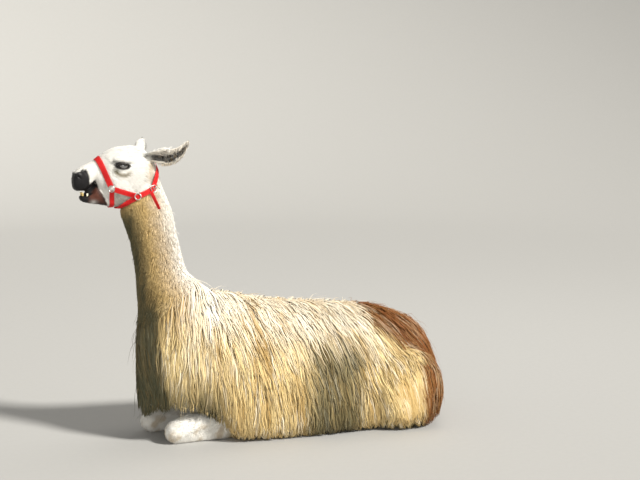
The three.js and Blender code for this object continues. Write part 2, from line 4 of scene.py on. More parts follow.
import bpy
import numpy as np
from bpy.props import FloatProperty, FloatVectorProperty, IntProperty, PointerProperty
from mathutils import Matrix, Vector


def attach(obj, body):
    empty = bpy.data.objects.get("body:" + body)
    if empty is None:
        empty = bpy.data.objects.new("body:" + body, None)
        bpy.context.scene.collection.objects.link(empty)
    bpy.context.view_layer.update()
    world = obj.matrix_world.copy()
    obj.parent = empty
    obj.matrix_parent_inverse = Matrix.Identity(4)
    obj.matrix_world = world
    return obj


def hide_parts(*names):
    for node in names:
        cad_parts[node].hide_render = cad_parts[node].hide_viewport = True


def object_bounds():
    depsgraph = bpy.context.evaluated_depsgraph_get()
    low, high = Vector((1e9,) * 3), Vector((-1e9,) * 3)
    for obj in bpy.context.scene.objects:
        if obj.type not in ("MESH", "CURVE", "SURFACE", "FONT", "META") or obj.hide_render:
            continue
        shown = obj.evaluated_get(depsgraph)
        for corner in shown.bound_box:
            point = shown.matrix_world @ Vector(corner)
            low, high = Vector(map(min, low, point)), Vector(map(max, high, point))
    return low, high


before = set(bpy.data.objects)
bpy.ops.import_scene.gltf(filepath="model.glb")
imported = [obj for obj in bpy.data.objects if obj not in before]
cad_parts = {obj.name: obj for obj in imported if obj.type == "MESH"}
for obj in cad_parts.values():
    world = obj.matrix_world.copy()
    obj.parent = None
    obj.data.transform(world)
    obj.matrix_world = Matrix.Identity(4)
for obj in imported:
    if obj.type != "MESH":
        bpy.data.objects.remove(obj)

bl_info = {
    "name": "Lying llama",
    "version": (1, 0, 0),
    "blender": (4, 5, 0),
    "location": "View3D > Sidebar > Llama",
    "description": "A llama lying with its legs folded, in full fleece, wearing a red halter",
    "category": "Object",
}

CAD_BOX = [list(corner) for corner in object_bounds()]
MM = 0.001
LEFT, RIGHT = -1, 1
SIDE_NAMES = {LEFT: "left", RIGHT: "right"}
BODY = "root"
FULL_TURN = 6.28       # the angle of one whole wave
TINY = 1e-9            # what a length is held above before it divides

# ---------------- key sections of the body
# One row per section, in millimetres: x and z of the upper or front end of its chord, x and z of the
# lower or back end, half width, roundness at both ends, where along the chord it is widest, and then
# how deep the coat is over the skin: at the upper end, at the lower end and at the side.
TRUNK = (
    (-740, 420, -740, 190, 28, 2, 2, 0.5, 30, 30, 22),
    (-734, 500, -734, 106, 84, 2, 2.6, 0.5, 30, 50, 45),
    (-706, 560, -706, 100, 142, 2, 2.4, 0.44, 26, 45, 50),
    (-640, 592, -640, 132, 194, 2, 2.2, 0.43, 24, 30, 52),
    (-530, 612, -530, 130, 232, 2, 2.2, 0.42, 22, 30, 52),
    (-452, 612, -452, 84, 247, 2, 2.6, 0.38, 22, 20, 52),
    (-380, 604, -380, 6, 255, 2, 3.4, 0.36, 22, 6, 52),
    (-216, 566, -216, -3, 267, 2, 4, 0.34, 22, -6, 52),
    (40, 537, 40, -3, 276, 2, 4, 0.34, 22, -6, 52),
    (250, 511, 250, -3, 278, 2, 4, 0.34, 22, -6, 52),
    (390, 470, 390, -3, 262, 2, 3.6, 0.34, 26, -6, 50),
    (480, 404, 480, -2, 222, 2, 3.2, 0.36, 32, -4, 48),
    (535, 296, 535, 3, 150, 2, 2.8, 0.4, 40, 10, 46),
    (548, 200, 548, 26, 82, 2, 2.2, 0.45, 30, 20, 36),
    (552, 130, 552, 60, 40, 2, 2, 0.5, 14, 14, 16),
)
NECK = (
    (-700, 360, -420, 440, 176, 2, 2, 0.55, 46, 30, 46),
    (-746, 480, -430, 602, 160, 2, 2, 0.55, 30, 26, 44),
    (-751, 566, -490, 650, 132, 2, 2, 0.52, 30, 24, 34),
    (-756, 650, -531, 692, 110, 2, 2, 0.5, 28, 22, 26),
    (-761, 715, -546, 752, 99, 2, 2, 0.5, 24, 20, 22),
    (-774, 815, -569, 850, 90, 2, 2, 0.5, 18, 18, 18),
    (-790, 880, -584, 930, 84, 2, 2, 0.5, 14, 16, 15),
    (-803, 932, -604, 985, 79, 2, 2, 0.5, 9, 15, 11),
    (-796, 985, -625, 1035, 72, 2, 2, 0.5, 6, 14, 7),
    (-775, 1050, -646, 1082, 58, 2, 2, 0.5, 5, 10, 5),
)
HEAD = (
    (-989, 1072, -989, 1046, 11, 2, 2, 0.5, 1, 1, 1),
    (-985, 1088, -984, 1030, 26, 2.3, 2.3, 0.5, 1.5, 1, 1.5),
    (-970, 1106, -970, 1021, 35, 2.2, 2.4, 0.5, 2, 1, 2),
    (-948, 1120, -946, 1021, 40, 2.2, 2.6, 0.45, 2, 1, 2),
    (-926, 1130, -923, 1036, 41, 2.2, 2.4, 0.45, 2.5, 1, 2.5),
    (-908, 1138, -904, 1052, 42, 2.2, 2.3, 0.45, 3, 1, 3),
    (-892, 1147, -886, 1020, 45, 2.2, 2.2, 0.5, 3, 3, 3),
    (-874, 1163, -864, 980, 52, 2.2, 2.2, 0.55, 4, 4, 3),
    (-847, 1181, -842, 957, 64, 2.2, 2.1, 0.6, 5, 5, 3.5),
    (-812, 1194, -808, 948, 71, 2.2, 2, 0.62, 6, 5, 4),
    (-765, 1198, -770, 948, 73, 2.2, 2, 0.62, 8, 5, 5),
    (-716, 1186, -732, 958, 70, 2.1, 2, 0.6, 8, 5, 6),
    (-684, 1160, -702, 978, 64, 2, 2, 0.6, 8, 5, 6),
    (-660, 1118, -676, 1004, 54, 2, 2, 0.55, 10, 5, 6),
    (-648, 1088, -656, 1040, 30, 2, 2, 0.5, 10, 5, 6),
)
TONGUE = (
    (-946, 1008, -946, 996, 5, 2, 2, 0.5, 0, 0, 0),
    (-938, 1020, -938, 992, 10, 2, 2, 0.5, 0, 0, 0),
    (-918, 1042, -918, 990, 17, 2, 2, 0.5, 0, 0, 0),
    (-896, 1056, -896, 990, 24, 2, 2, 0.5, 0, 0, 0),
    (-876, 1056, -876, 990, 22, 2, 2, 0.5, 0, 0, 0),
)
JAW = (
    (-963, 1000, -963, 991, 8, 2, 2, 0.5, 0.5, 1, 1),
    (-957, 1005, -955, 980, 20, 2.2, 2, 0.5, 1, 1.5, 1),
    (-938, 1006, -936, 972, 27, 2.4, 2, 0.5, 1, 2, 1),
    (-914, 1018, -912, 968, 33, 2.4, 2, 0.5, 1, 2, 1),
    (-898, 1046, -893, 964, 38, 2.2, 2, 0.5, 0, 3, 1),
    (-872, 1040, -868, 960, 39, 2, 2, 0.5, 0, 3, 2),
    (-846, 1018, -846, 954, 41, 2, 2, 0.5, 0, 3, 3),
    (-824, 1000, -824, 958, 30, 2, 2, 0.5, 0, 3, 3),
)
TAIL = (
    (440, 448, 420, 380, 34, 2, 2, 0.5, 8, 8, 8),
    (502, 408, 470, 350, 46, 2, 2, 0.5, 22, 10, 24),
    (560, 312, 514, 270, 54, 2, 2, 0.5, 24, 4, 30),
    (580, 215, 536, 200, 54, 2, 2, 0.5, 24, 4, 32),
    (584, 130, 552, 126, 42, 2, 2, 0.5, 20, 4, 26),
    (578, 90, 566, 90, 12, 2, 2, 0.5, 2, 2, 4),
)
FOREARM = (
    (-380, 146, -372, 70, 44, 2, 2, 0.5, 5, 5, 5),
    (-450, 120, -446, 42, 47, 2, 2, 0.5, 5, 5, 5),
    (-544, 117, -540, 28, 49, 2, 2, 0.5, 5, 4, 5),
    (-614, 102, -606, 4, 52, 2, 2, 0.5, 5, 1, 5),
    (-646, 82, -642, 8, 44, 2, 2, 0.5, 5, 2, 5),
    (-660, 56, -659, 28, 18, 2, 2, 0.5, 4, 4, 4),
)
FORE_CANNON = (
    (-628, 60, -628, -3, 40, 2, 2, 0.5, 4, -2, 4),
    (-540, 56, -540, -3, 33, 2, 2, 0.5, 4, -2, 4),
    (-430, 60, -430, -3, 35, 2, 2, 0.5, 4, -2, 4),
    (-388, 52, -388, -3, 31, 2, 2, 0.5, 4, -2, 4),
    (-350, 50, -350, -3, 36, 2, 2.4, 0.45, 4, -2, 4),
    (-318, 40, -318, 0, 31, 2, 2.4, 0.45, 3, 0, 3),
    (-304, 28, -304, 8, 20, 2, 2, 0.5, 2, 1, 2),
)
HIND_CANNON = (
    (486, 72, 486, 18, 22, 2, 2, 0.5, 4, 4, 4),
    (462, 92, 462, -3, 36, 2, 2.2, 0.5, 4, -2, 4),
    (340, 66, 340, -3, 32, 2, 2, 0.5, 4, -2, 4),
    (200, 66, 200, -3, 35, 2, 2, 0.5, 4, -2, 4),
    (156, 58, 156, -3, 31, 2, 2, 0.5, 4, -2, 4),
    (116, 54, 116, -3, 37, 2, 2.4, 0.45, 4, -2, 4),
    (82, 42, 82, 0, 32, 2, 2.4, 0.45, 3, 0, 3),
    (68, 30, 68, 8, 20, 2, 2, 0.5, 2, 1, 2),
)
FORELEG_Y = 100
FAR_KNEE_FORWARD = 52
HIND_LEG_Y = 118
HEAD_FORMS = (  # centre, radii and turn about Y of what is raised on both sides of the head
    ((-802, 54, 1141), (35, 15, 12), 0.12),
    ((-800, 40, 1042), (56, 28, 56), 0.0),
    ((-966, 24, 1084), (19, 12, 14), 0.6),
)
HAUNCH = ((352, 196, 150), (150, 92, 168), 0.0)
EYE_CENTRE = (-797, 52, 1119)
EYE_RADIUS = 21
EYE_OPENING = ((-798, 75, 1119), (25, 15, 13), -0.12)
NOSTRIL = ((-968, 37, 1079), (13, 7, 4.5), 0.7)
EARS = {
    LEFT: (
        ((-712, -48, 1146), (-676, -70, 1150), (-630, -86, 1150), (-584, -95, 1165), (-543, -94, 1211)),
        (30, 48, 60, 46, 8), (0.1, -1, -0.3)),
    RIGHT: (
        ((-712, 46, 1146), (-706, 74, 1166), (-696, 106, 1182), (-684, 140, 1196), (-667, 172, 1211)),
        (28, 36, 36, 22, 4), (-0.25, 0.25, -1)),
}
EAR_THICKNESS, EAR_CUP = 5.5, 15
FORMS = ((TRUNK, 72), (NECK, 56), (HEAD, 56), (JAW, 40), (TONGUE, 28), (TAIL, 32))  # with points round each
LEGS = ((FOREARM, FORELEG_Y, FAR_KNEE_FORWARD), (FORE_CANNON, FORELEG_Y, FAR_KNEE_FORWARD),
        (HIND_CANNON, HIND_LEG_Y, 0))  # with distance from the midline, and the right leg's lead
LEG_SIDES = 28
RINGS_PER_KEY = 8
FLESH = ("trunk", "neck", "head", "jaw", "tail", "foreleg_left", "foreleg_right",
         "hind_leg_left", "hind_leg_right", "ear_left", "ear_right")


# ---------------- curves and surfaces
def unit(vectors):
    """Vectors divided by their lengths."""
    return vectors / np.maximum(np.linalg.norm(vectors, axis=-1, keepdims=True), TINY)


def turns(count):
    """Angles evenly spaced round a circle."""
    return np.linspace(0, 2 * np.pi, count, endpoint=False)


def step(low, high, values):
    """A smooth step: 0 below low, 1 above high, and 3t squared minus 2t cubed between them."""
    t = np.clip((values - low) / (high - low), 0.0, 1.0)
    return t * t * (3.0 - 2.0 * t)


def between(values, low, full, past, high):
    """1 from full to past, and smooth steps down to 0 at low and at high."""
    return step(low, full, values) * step(high, past, values)


def bell(values, middle, width):
    """A bell curve: 1 at middle, falling to 1/e at width on both sides."""
    return np.exp(-((values - middle) / width) ** 2)


def curve_through(figures, at):
    """A monotone cubic through figures at 0, 1, 2 and so on: its slope at each is the harmonic mean
    of the slopes on both sides, or nought where they differ in sign."""
    figures = np.asarray(figures, float)
    slope = np.diff(figures, axis=0)
    before, after = slope[:-1], slope[1:]
    same = before * after > 0
    mean = np.where(same, 2 * before * after / np.where(same, before + after, 1), 0)
    tangent = np.concatenate((slope[:1], mean, slope[-1:]))
    i = np.clip(np.floor(at).astype(int), 0, len(figures) - 2)
    t = (at - i).reshape((-1,) + (1,) * (figures.ndim - 1))
    rise = (3 - 2 * t) * t * t
    return (figures[i] + slope[i] * rise + tangent[i] * t * (1 - t) ** 2
            - tangent[i + 1] * t * t * (1 - t))


def loft(keys, sides):
    """Rings round a limb: each is a super-ellipse whose chord runs between the two given ends, less the
    coat's depth. A point at turn s sits |sin s| to the power 2 / roundness along the chord and
    |cos s| to that power across it."""
    rows = curve_through(keys, np.linspace(0, len(keys) - 1, (len(keys) - 1) * RINGS_PER_KEY + 1))
    a, b, half = rows[:, 0:2], rows[:, 2:4], rows[:, 4]
    up = unit(a - b)
    a, b = a - up * rows[:, 8:9], b + up * rows[:, 9:10]
    half = half - rows[:, 10]
    middle = b + (a - b) * rows[:, 7:8]
    turn = turns(sides)
    c, s = np.cos(turn), np.sin(turn)
    power = np.where(s >= 0, 2 / rows[:, 5:6], 2 / rows[:, 6:7])
    end = np.where(s >= 0, np.linalg.norm(a - middle, axis=1)[:, None],
                   np.linalg.norm(b - middle, axis=1)[:, None])
    along = end * np.sign(s) * np.abs(s) ** power
    across = half[:, None] * np.sign(c) * np.abs(c) ** power
    return np.stack((middle[:, :1] + up[:, :1] * along, across,
                     middle[:, 1:] + up[:, 1:] * along), -1) * MM


def ellipsoid(centre, radii, tilt, side=RIGHT, rings=18, sides=28, pole=0.03):
    """A sphere's latitudes and longitudes stretched to three radii and turned about Y. The first and
    last ring lie a small angle from the poles."""
    lat = np.linspace(-np.pi / 2 + pole, np.pi / 2 - pole, rings)[:, None]
    lon = turns(sides)[None, :]
    ball = np.stack((np.cos(lat) * np.cos(lon), np.cos(lat) * np.sin(lon), np.sin(lat) + 0 * lon), -1) * radii
    c, s = math.cos(tilt), math.sin(tilt)
    turned = np.stack((ball[..., 0] * c + ball[..., 2] * s, ball[..., 1],
                       -ball[..., 0] * s + ball[..., 2] * c), -1)
    return (turned + np.array((centre[0], side * centre[1], centre[2]))) * MM


def path_frames(points, facing):
    """Directions along a path, and two more square to it: the second follows facing."""
    along = unit(np.gradient(points, axis=0))
    out = unit(facing - along * np.sum(facing * along, axis=-1, keepdims=True))
    return along, np.cross(along, out), out


def ear_rings(path, widths, facing, steps=30, arc=12, inner_arc=0.93, slim=20, thin=24):
    """A cupped leaf: each ring is a crescent, its back an arc round the midline and its hollow side
    a slightly shorter arc nearer to facing. It flattens where its half width is under slim, and
    thins towards 0.45 of its thickness in proportion to the half width over thin."""
    at = np.linspace(0, len(path) - 1, steps + 1)
    line = curve_through(path, at)
    half = curve_through(widths, at)[:, None, None] / 2
    _, across, open_side = path_frames(line, np.array(facing, float))
    across, open_side = across[:, None, :], open_side[:, None, :]
    cup = EAR_CUP * np.minimum(1, half / slim)
    thick = EAR_THICKNESS * np.minimum(1, 0.45 + half / thin)
    turn = np.linspace(-np.pi / 2, np.pi / 2, arc + 1)[None, :, None]

    def arc_at(angle, out):
        return line[:, None, :] + across * half * np.sin(angle) - open_side * (cup * np.cos(angle) + out)

    return np.concatenate((arc_at(turn, thick / 2), arc_at(turn[:, ::-1] * inner_arc, -thick / 2)), 1) * MM


def wall(rings, following, sides):
    """Triangles between rings of a tube, given by number, and the rings that follow them."""
    k = np.arange(sides)[None, :]
    n = (k + 1) % sides
    rings, following = rings[:, None] * sides, following[:, None] * sides
    p, q, r, s = rings + k, rings + n, following + k, following + n
    return np.stack((np.stack((p, q, r), -1), np.stack((q, s, r), -1)), 2).reshape(-1, 3)


def outward(points, faces):
    """A closed surface, its triangles turned over where the volume they enclose comes out negative."""
    corner = points[faces]
    volume = np.einsum("ij,ij->", corner[:, 0], np.cross(corner[:, 1], corner[:, 2]))
    return points, faces[:, ::-1] if volume < 0 else faces


def capped(rings):
    """Vertices and triangles of a tube of rings, with a fan from a middle point over each end."""
    number, sides = rings.shape[:2]
    points = np.concatenate((rings.reshape(-1, 3), rings[:1].mean(1), rings[-1:].mean(1)))
    order, k = np.arange(number), np.arange(sides)
    n = (k + 1) % sides
    middle, last = number * sides, (number - 1) * sides
    low = np.stack((np.full(sides, middle), n, k), -1)
    high = np.stack((np.full(sides, middle + 1), last + k, last + n), -1)
    return outward(points, np.concatenate((wall(order[:-1], order[1:], sides), low, high)))


def closed_loop(rings):
    """Vertices and triangles of a tube whose last ring joins its first."""
    number, sides = rings.shape[:2]
    order = np.arange(number)
    return outward(rings.reshape(-1, 3), wall(order, np.roll(order, -1), sides))


def tube(path, radii, sides, facing, squash=1.0):
    """Rings round a path: at each place a circle of the given radius, flattened by squash along the
    way that facing points."""
    _, across, out = path_frames(path, facing)
    turn = turns(sides)[None, :, None]
    radii = np.broadcast_to(np.asarray(radii, float), (len(path),))[:, None, None]
    across, out = across[:, None, :], out[:, None, :]
    return path[:, None, :] + radii * (np.cos(turn) * across + squash * np.sin(turn) * out)


def hoop(path, radii, sides, facing):
    """A tube along a closed path: the path is carried on past both ends to find its directions there."""
    ends = np.arange(-1, len(path) + 1) % len(path)
    radii = np.broadcast_to(radii, (len(path),))
    return closed_loop(tube(path[ends], radii[ends], sides, facing)[1:-1])


def merged(parts):
    """Several lots of vertices and triangles as one."""
    vertices, faces, first = [], [], 0
    for points, triangles in parts:
        vertices.append(points)
        faces.append(triangles + first)
        first += len(points)
    return np.concatenate(vertices), np.concatenate(faces)


def joined(tubes):
    """Vertices and triangles of several capped tubes."""
    return merged([capped(rings) for rings in tubes])


def add_to_scene(name, data, place=(0.0, 0.0, 0.0), turn=(0.0, 0.0, 0.0)):
    """A mesh, lamp or camera as an object in the scene."""
    item = bpy.data.objects.new(name, data)
    item.location, item.rotation_euler = place, turn
    bpy.context.scene.collection.objects.link(item)
    return item


def new_piece(name, vertices, faces, material=None):
    """A smooth mesh object at the origin from arrays of points and triangles."""
    mesh = bpy.data.meshes.new(name)
    mesh.vertices.add(len(vertices))
    mesh.vertices.foreach_set("co", np.ascontiguousarray(vertices, np.float32).ravel())
    mesh.loops.add(3 * len(faces))
    mesh.loops.foreach_set("vertex_index", np.ascontiguousarray(faces, np.int32).ravel())
    mesh.polygons.add(len(faces))
    mesh.polygons.foreach_set("loop_start", np.arange(0, 3 * len(faces), 3, dtype=np.int32))
    mesh.polygons.foreach_set("use_smooth", np.full(len(faces), True))
    mesh.update(calc_edges=True)
    if material is not None:
        mesh.materials.append(material)
    return add_to_scene(name, mesh)


def fitted(piece, slot, *nodes):
    """Has a piece ride on the part's body, in place of the solids it stands for. The slot is not used."""
    if nodes:
        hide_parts(*nodes)
    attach(piece, BODY)
    return piece


def move_points(mesh, points):
    """Puts a mesh's points at new places."""
    mesh.vertices.foreach_set("co", points.astype(np.float32).ravel())
    mesh.update()


def read_mesh(mesh):
    """Points, point normals and triangles of a mesh as arrays."""
    mesh.calc_loop_triangles()
    found = []
    for source, name, kind in ((mesh.vertices, "co", np.float32), (mesh.vertices, "normal", np.float32),
                               (mesh.loop_triangles, "vertices", np.int32)):
        values = np.empty(3 * len(source), kind)
        source.foreach_get(name, values)
        found.append(values.reshape(-1, 3))
    return found[0].astype(float), found[1].astype(float), found[2]


def store(mesh, name, values):
    """Keeps one number for each point as an attribute that a material can read."""
    layer = mesh.attributes.new(name, "FLOAT", "POINT")
    layer.data.foreach_set("value", np.ascontiguousarray(values, np.float32))


def store_uv(mesh, name, per_point, faces):
    """Keeps a UV map from one place for each point."""
    layer = mesh.uv_layers.new(name=name)
    layer.uv.foreach_set("vector", np.ascontiguousarray(per_point[faces.ravel()], np.float32).ravel())


def apply_modifiers(piece):
    """Gives a piece the mesh that its modifiers make of it, and takes them away."""
    made = bpy.data.meshes.new_from_object(piece.evaluated_get(bpy.context.evaluated_depsgraph_get()))
    old = piece.data
    piece.modifiers.clear()
    piece.data = made
    bpy.data.meshes.remove(old)


# ---------------- skin
HEAD_CENTRE = np.array((-0.76, 0.0, 1.085))
HEAD_ZOOM, HEAD_REACH, BODY_ZOOM = 3.8, 0.27, 0.75


def magnified(points):
    """Stretches space round the head: inside HEAD_REACH of its middle all distances grow HEAD_ZOOM
    times, and beyond it the distance goes on growing BODY_ZOOM times as fast as before."""
    away = points - HEAD_CENTRE
    r = np.linalg.norm(away, axis=1, keepdims=True)
    grown = np.where(r < HEAD_REACH, r * HEAD_ZOOM, HEAD_REACH * HEAD_ZOOM + (r - HEAD_REACH) * BODY_ZOOM)
    return HEAD_CENTRE + away * grown / np.maximum(r, TINY)


def reduced(points):
    """Undoes magnified."""
    away = points - HEAD_CENTRE
    r = np.linalg.norm(away, axis=1, keepdims=True)
    edge = HEAD_REACH * HEAD_ZOOM
    shrunk = np.where(r < edge, r / HEAD_ZOOM, HEAD_REACH + (r - edge) / BODY_ZOOM)
    return HEAD_CENTRE + away * shrunk / np.maximum(r, TINY)


def flesh_tubes():
    """Every body form as a closed tube: trunk, neck, head, jaw, tail, legs, haunches and ears."""
    tubes = [loft(keys, sides) for keys, sides in FORMS]
    for side in (LEFT, RIGHT):
        for keys, y, lead in LEGS:
            move = (-lead if side == RIGHT else 0, side * y, 0)
            tubes.append(loft(keys, LEG_SIDES) + np.array(move) * MM)
        tubes.extend(ellipsoid(*form, side) for form in (*HEAD_FORMS, HAUNCH))
        tubes.append(ear_rings(*EARS[side]))
    return tubes


def sink(points, hollow, side):
    """Presses points sideways into a hollow: inside the outline of an ellipsoid seen from the side,
    none may lie further out than its inner wall."""
    (cx, cy, cz), (rx, ry, rz), tilt = hollow
    dx, dz = points[:, 0] / MM - cx, points[:, 2] / MM - cz
    c, s = math.cos(tilt), math.sin(tilt)
    inside = 1 - ((dx * c - dz * s) / rx) ** 2 - ((dx * s + dz * c) / rz) ** 2
    wall = (cy - ry * np.sqrt(np.clip(inside, 0, None))) * MM
    hit = (inside > 0) & (points[:, 1] * side > wall) & (points[:, 1] * side > 0)
    points[hit, 1] = wall[hit] * side
    return points


def near_line(points, line):
    """Each point's distance from a chain of straight stretches, and how far along the chain its
    nearest place is, from 0 to 1."""
    best = np.full(len(points), 1e9)
    place = np.zeros(len(points))
    for i in range(len(line) - 1):
        along = line[i + 1] - line[i]
        t = np.clip(((points - line[i]) @ along) / (along @ along), 0, 1)
        far = np.linalg.norm(points - line[i] - t[:, None] * along, axis=1)
        closer = far < best
        best[closer] = far[closer]
        place[closer] = (i + t[closer]) / (len(line) - 1)
    return best, place


def groove(points, normals, line, width, depth):
    """Moves points in along their normals by depth, falling off as a bell of the given width from a
    line of places on the side of the head."""
    far = near_line(points[:, [0, 2]] / MM, np.array(line, float))[0]
    weight = bell(far, 0, width) * (np.abs(points[:, 1]) > MIDLINE_STRIP)
    return points - normals * (weight * depth * MM)[:, None]


MIDLINE_STRIP = 0.012  # no fold comes nearer to the midline
FACE_FOLDS = (  # lines on the side of the head, with the width and depth of the fold in millimetres
    (((-838, 1114), (-846, 1100), (-840, 1082), (-822, 1070)), 4.0, 1.6),
    (((-822, 1098), (-800, 1094), (-776, 1101)), 3.0, 1.6),
    (((-834, 1136), (-806, 1143), (-776, 1138), (-762, 1126)), 3.2, 0.9),
    (((-906, 1056), (-896, 1040), (-884, 1016), (-866, 982)), 3.2, 2.6),
    (((-950, 1104), (-936, 1090), (-928, 1070)), 4.0, 1.4),
    (((-872, 1090), (-858, 1064), (-842, 1046)), 9.0, 2.2),
    (((-782, 1010), (-770, 985), (-774, 962)), 8.0, 2.4),
)


def wobble(points, scale, seed):
    """Smooth made-up unevenness: the sum of six sine waves in seeded directions, from about -1 to 1."""
    rng = np.random.default_rng(seed)
    total = np.zeros(len(points))
    for i in range(6):
        direction = unit(rng.normal(size=3))
        phase = rng.uniform(0, FULL_TURN)
        total += np.sin(points @ direction * scale * (1 + 0.45 * i) + phase) / (1 + 0.5 * i)
    return total / 2.2


MARKS = ("black", "lip", "fawn", "russet", "white", "grey")
# Small marks on the side of the head: x and z of the middle, and widths along x and z, all in metres.
CHIN_PATCH = (-0.912, 0.976, 0.014, 0.009)
LID_CORNER = (-0.839, 1.131, 0.010, 0.006)
TEAR_STAIN = (-0.826, 1.103, 0.012, 0.010)
EAR_ROOT = (-0.703, 1.156, 0.007, 0.008)
FLECKS = tuple((x, z, 0.0045, 0.0045) for x, z in ((-0.752, 1.023), (-0.709, 1.077), (-0.714, 1.062),
                                                   (-0.735, 1.012)))
NOSE_MIDDLE, NOSE_BASE, NOSE_LONG = -0.965, 1.045, 0.0405  # the black nose, from the side a rounded square
NOSE_TOP, LIP_EDGE, FLAP_TOP = 1.111, 1.056, 1.059
EYE_RIM = (0.040, 0.0172)  # half length and half height of the black round the eye


def spot(points, mark):
    """One small mark: a bell along x times a bell along z."""
    x, z, wide, high = mark
    return bell(points[:, 0], x, wide) * bell(points[:, 2], z, high)


def face_marks(points, fine):
    """On the head: black about the nose, along the lip and round the eyes, brown on the lower lip, a grey
    stain below the eye, painted shade in a crescent under the eye and under the cheek and jaw, and a few tan
    and dark flecks. Every edge is a smooth step over a few millimetres, roughened by fine; slanting edges are
    straight lines in x and z."""
    x, y, z = points.T
    lip_edge = LIP_EDGE - 0.76 * (-0.904 - x).clip(0, 0.042)  # falls towards the nose
    flap = -0.906 + 0.53 * (FLAP_TOP - z) + 0.0015 * fine     # where the upper lip ends over the cheek
    nose_top = NOSE_TOP - 0.45 * (-0.940 - x).clip(0, 0.06)
    corner = (((x - NOSE_MIDDLE).clip(0) / NOSE_LONG) ** 3
              + ((z - NOSE_BASE).clip(0) / (nose_top - NOSE_BASE)) ** 3)
    nose = step(1.06, 0.94, np.cbrt(corner) + 0.055 * fine) * step(-0.012, -0.004, z - lip_edge)
    edge = step(0.009, 0.004, np.abs(z - lip_edge - 0.004)) * step(-0.897, -0.905, x)
    below = step(lip_edge + 0.002, lip_edge - 0.002, z) * step(flap + 0.002, flap - 0.002, x)
    below = below * step(-0.85, -0.86, x) * step(0.94, 0.95, z)
    chin = spot(points, CHIN_PATCH)
    dark_lip = np.maximum(step(-0.908, -0.938, x + 0.006 * fine), 0.7 * step(-0.022, 0.0, x - flap))
    dark_lip = np.maximum(dark_lip, 0.75 * step(0.984, 0.970, z + 0.004 * fine)) * (1 - 0.75 * chin)
    eye_x = (x + 0.804) / EYE_RIM[0]
    eye_z = (z - 1.119 + 0.08 * (x + 0.80)) / EYE_RIM[1]
    eye = np.hypot(eye_x, eye_z * np.where(eye_z > 0, 1.05, 1.0))
    fold = bell(z, 1.1315 - 0.10 * (x + 0.80), 0.0052) * between(x, -0.848, -0.836, -0.772, -0.763)
    fold = np.maximum(fold, spot(points, LID_CORNER))
    stain = 0.75 * spot(points, TEAR_STAIN)
    # Painted shade in a crescent below the eye, in grey and fawn.
    shade_below_eye = bell(z, 1.083 + 13 * (x + 0.800) ** 2, 0.0075) * between(x, -0.845, -0.825, -0.784, -0.764)
    brow = bell(z, 1.141 - 1.1 * (x + 0.855), 0.004) * between(x, -0.868, -0.862, -0.850, -0.842)
    root = spot(points, EAR_ROOT) * (np.abs(y) > 0.03)
    flecks = sum(spot(points, mark) for mark in FLECKS)
    shade = bell(x, -0.868, 0.008) * between(z, 1.02, 1.04, 1.07, 1.10)
    tan = bell(x, -0.692, 0.013) * between(z, 1.03, 1.07, 1.12, 1.145)
    # Painted shade under the cheek and jaw, between the straps.
    jaw = between(x, -0.842, -0.826, -0.775, -0.745) * step(1.018, 1.002, z + 0.28 * (x + 0.80))
    return {
        "black": np.clip(np.maximum(np.maximum(nose, edge), below * dark_lip) + step(0.92, 0.72, eye)
                         + 0.8 * fold + 0.75 * root + 0.35 * flecks, 0, 1),
        "lip": below * (1 - 0.75 * chin),
        "fawn": np.clip(0.5 * tan + 0.30 * flecks + 0.45 * shade_below_eye + 0.12 * jaw, 0, 1),
        "grey": np.clip(stain + 0.70 * shade_below_eye + 0.35 * brow + 0.22 * shade + jaw * (0.34 + 0.20 * fine), 0, 1),
        "white": chin}


def ear_marks(points, normals, reach=0.045, ahead=0.02):
    """In each ear's hollow: a dark streaky blade between a pale lower rim and a white upper edge. It
    is found by how far across the ear's width a point lies, from -1 at one rim to 1 at the other. The
    blade's streaks are two sine waves across the ear that bend along it."""
    dark, hollow = np.zeros(len(points)), np.zeros(len(points))
    for path, widths, facing in EARS.values():
        far, place = near_line(points, np.array(path, float) * MM)
        last, facing = len(path) - 1, np.array(facing, float)
        line = curve_through(path, place * last) * MM
        half = curve_through(widths, place * last) * MM / 2
        along = unit(curve_through(path, np.clip(place + ahead, 0, 1) * last)
                     - curve_through(path, np.clip(place - ahead, 0, 1) * last))
        open_side = unit(facing - along * (along @ facing)[:, None])
        over = unit(np.cross(along, open_side))
        over = over * np.where(over[:, 2:3] < 0, -1, 1)
        across = np.sum((points - line) * over, axis=1) / np.maximum(half, 1e-4)
        inner = step(-0.1, 0.3, np.sum(normals * open_side, axis=1)) * (far < reach) * step(0.06, 0.16, place)
        streak = np.sin(across * 9 + 2.0 * np.sin(place * 7)) * 0.5 + 0.5 * np.sin(across * 21 + place * 9)
        blade = step(0.70, 0.52, np.abs(across + 0.16 - 0.14 * place)) * step(1.0, 0.93, place)
        dark = np.maximum(dark, inner * blade * np.clip(0.92 + 0.25 * streak, 0, 1))
        hollow = np.maximum(hollow, inner)
    return dark, hollow


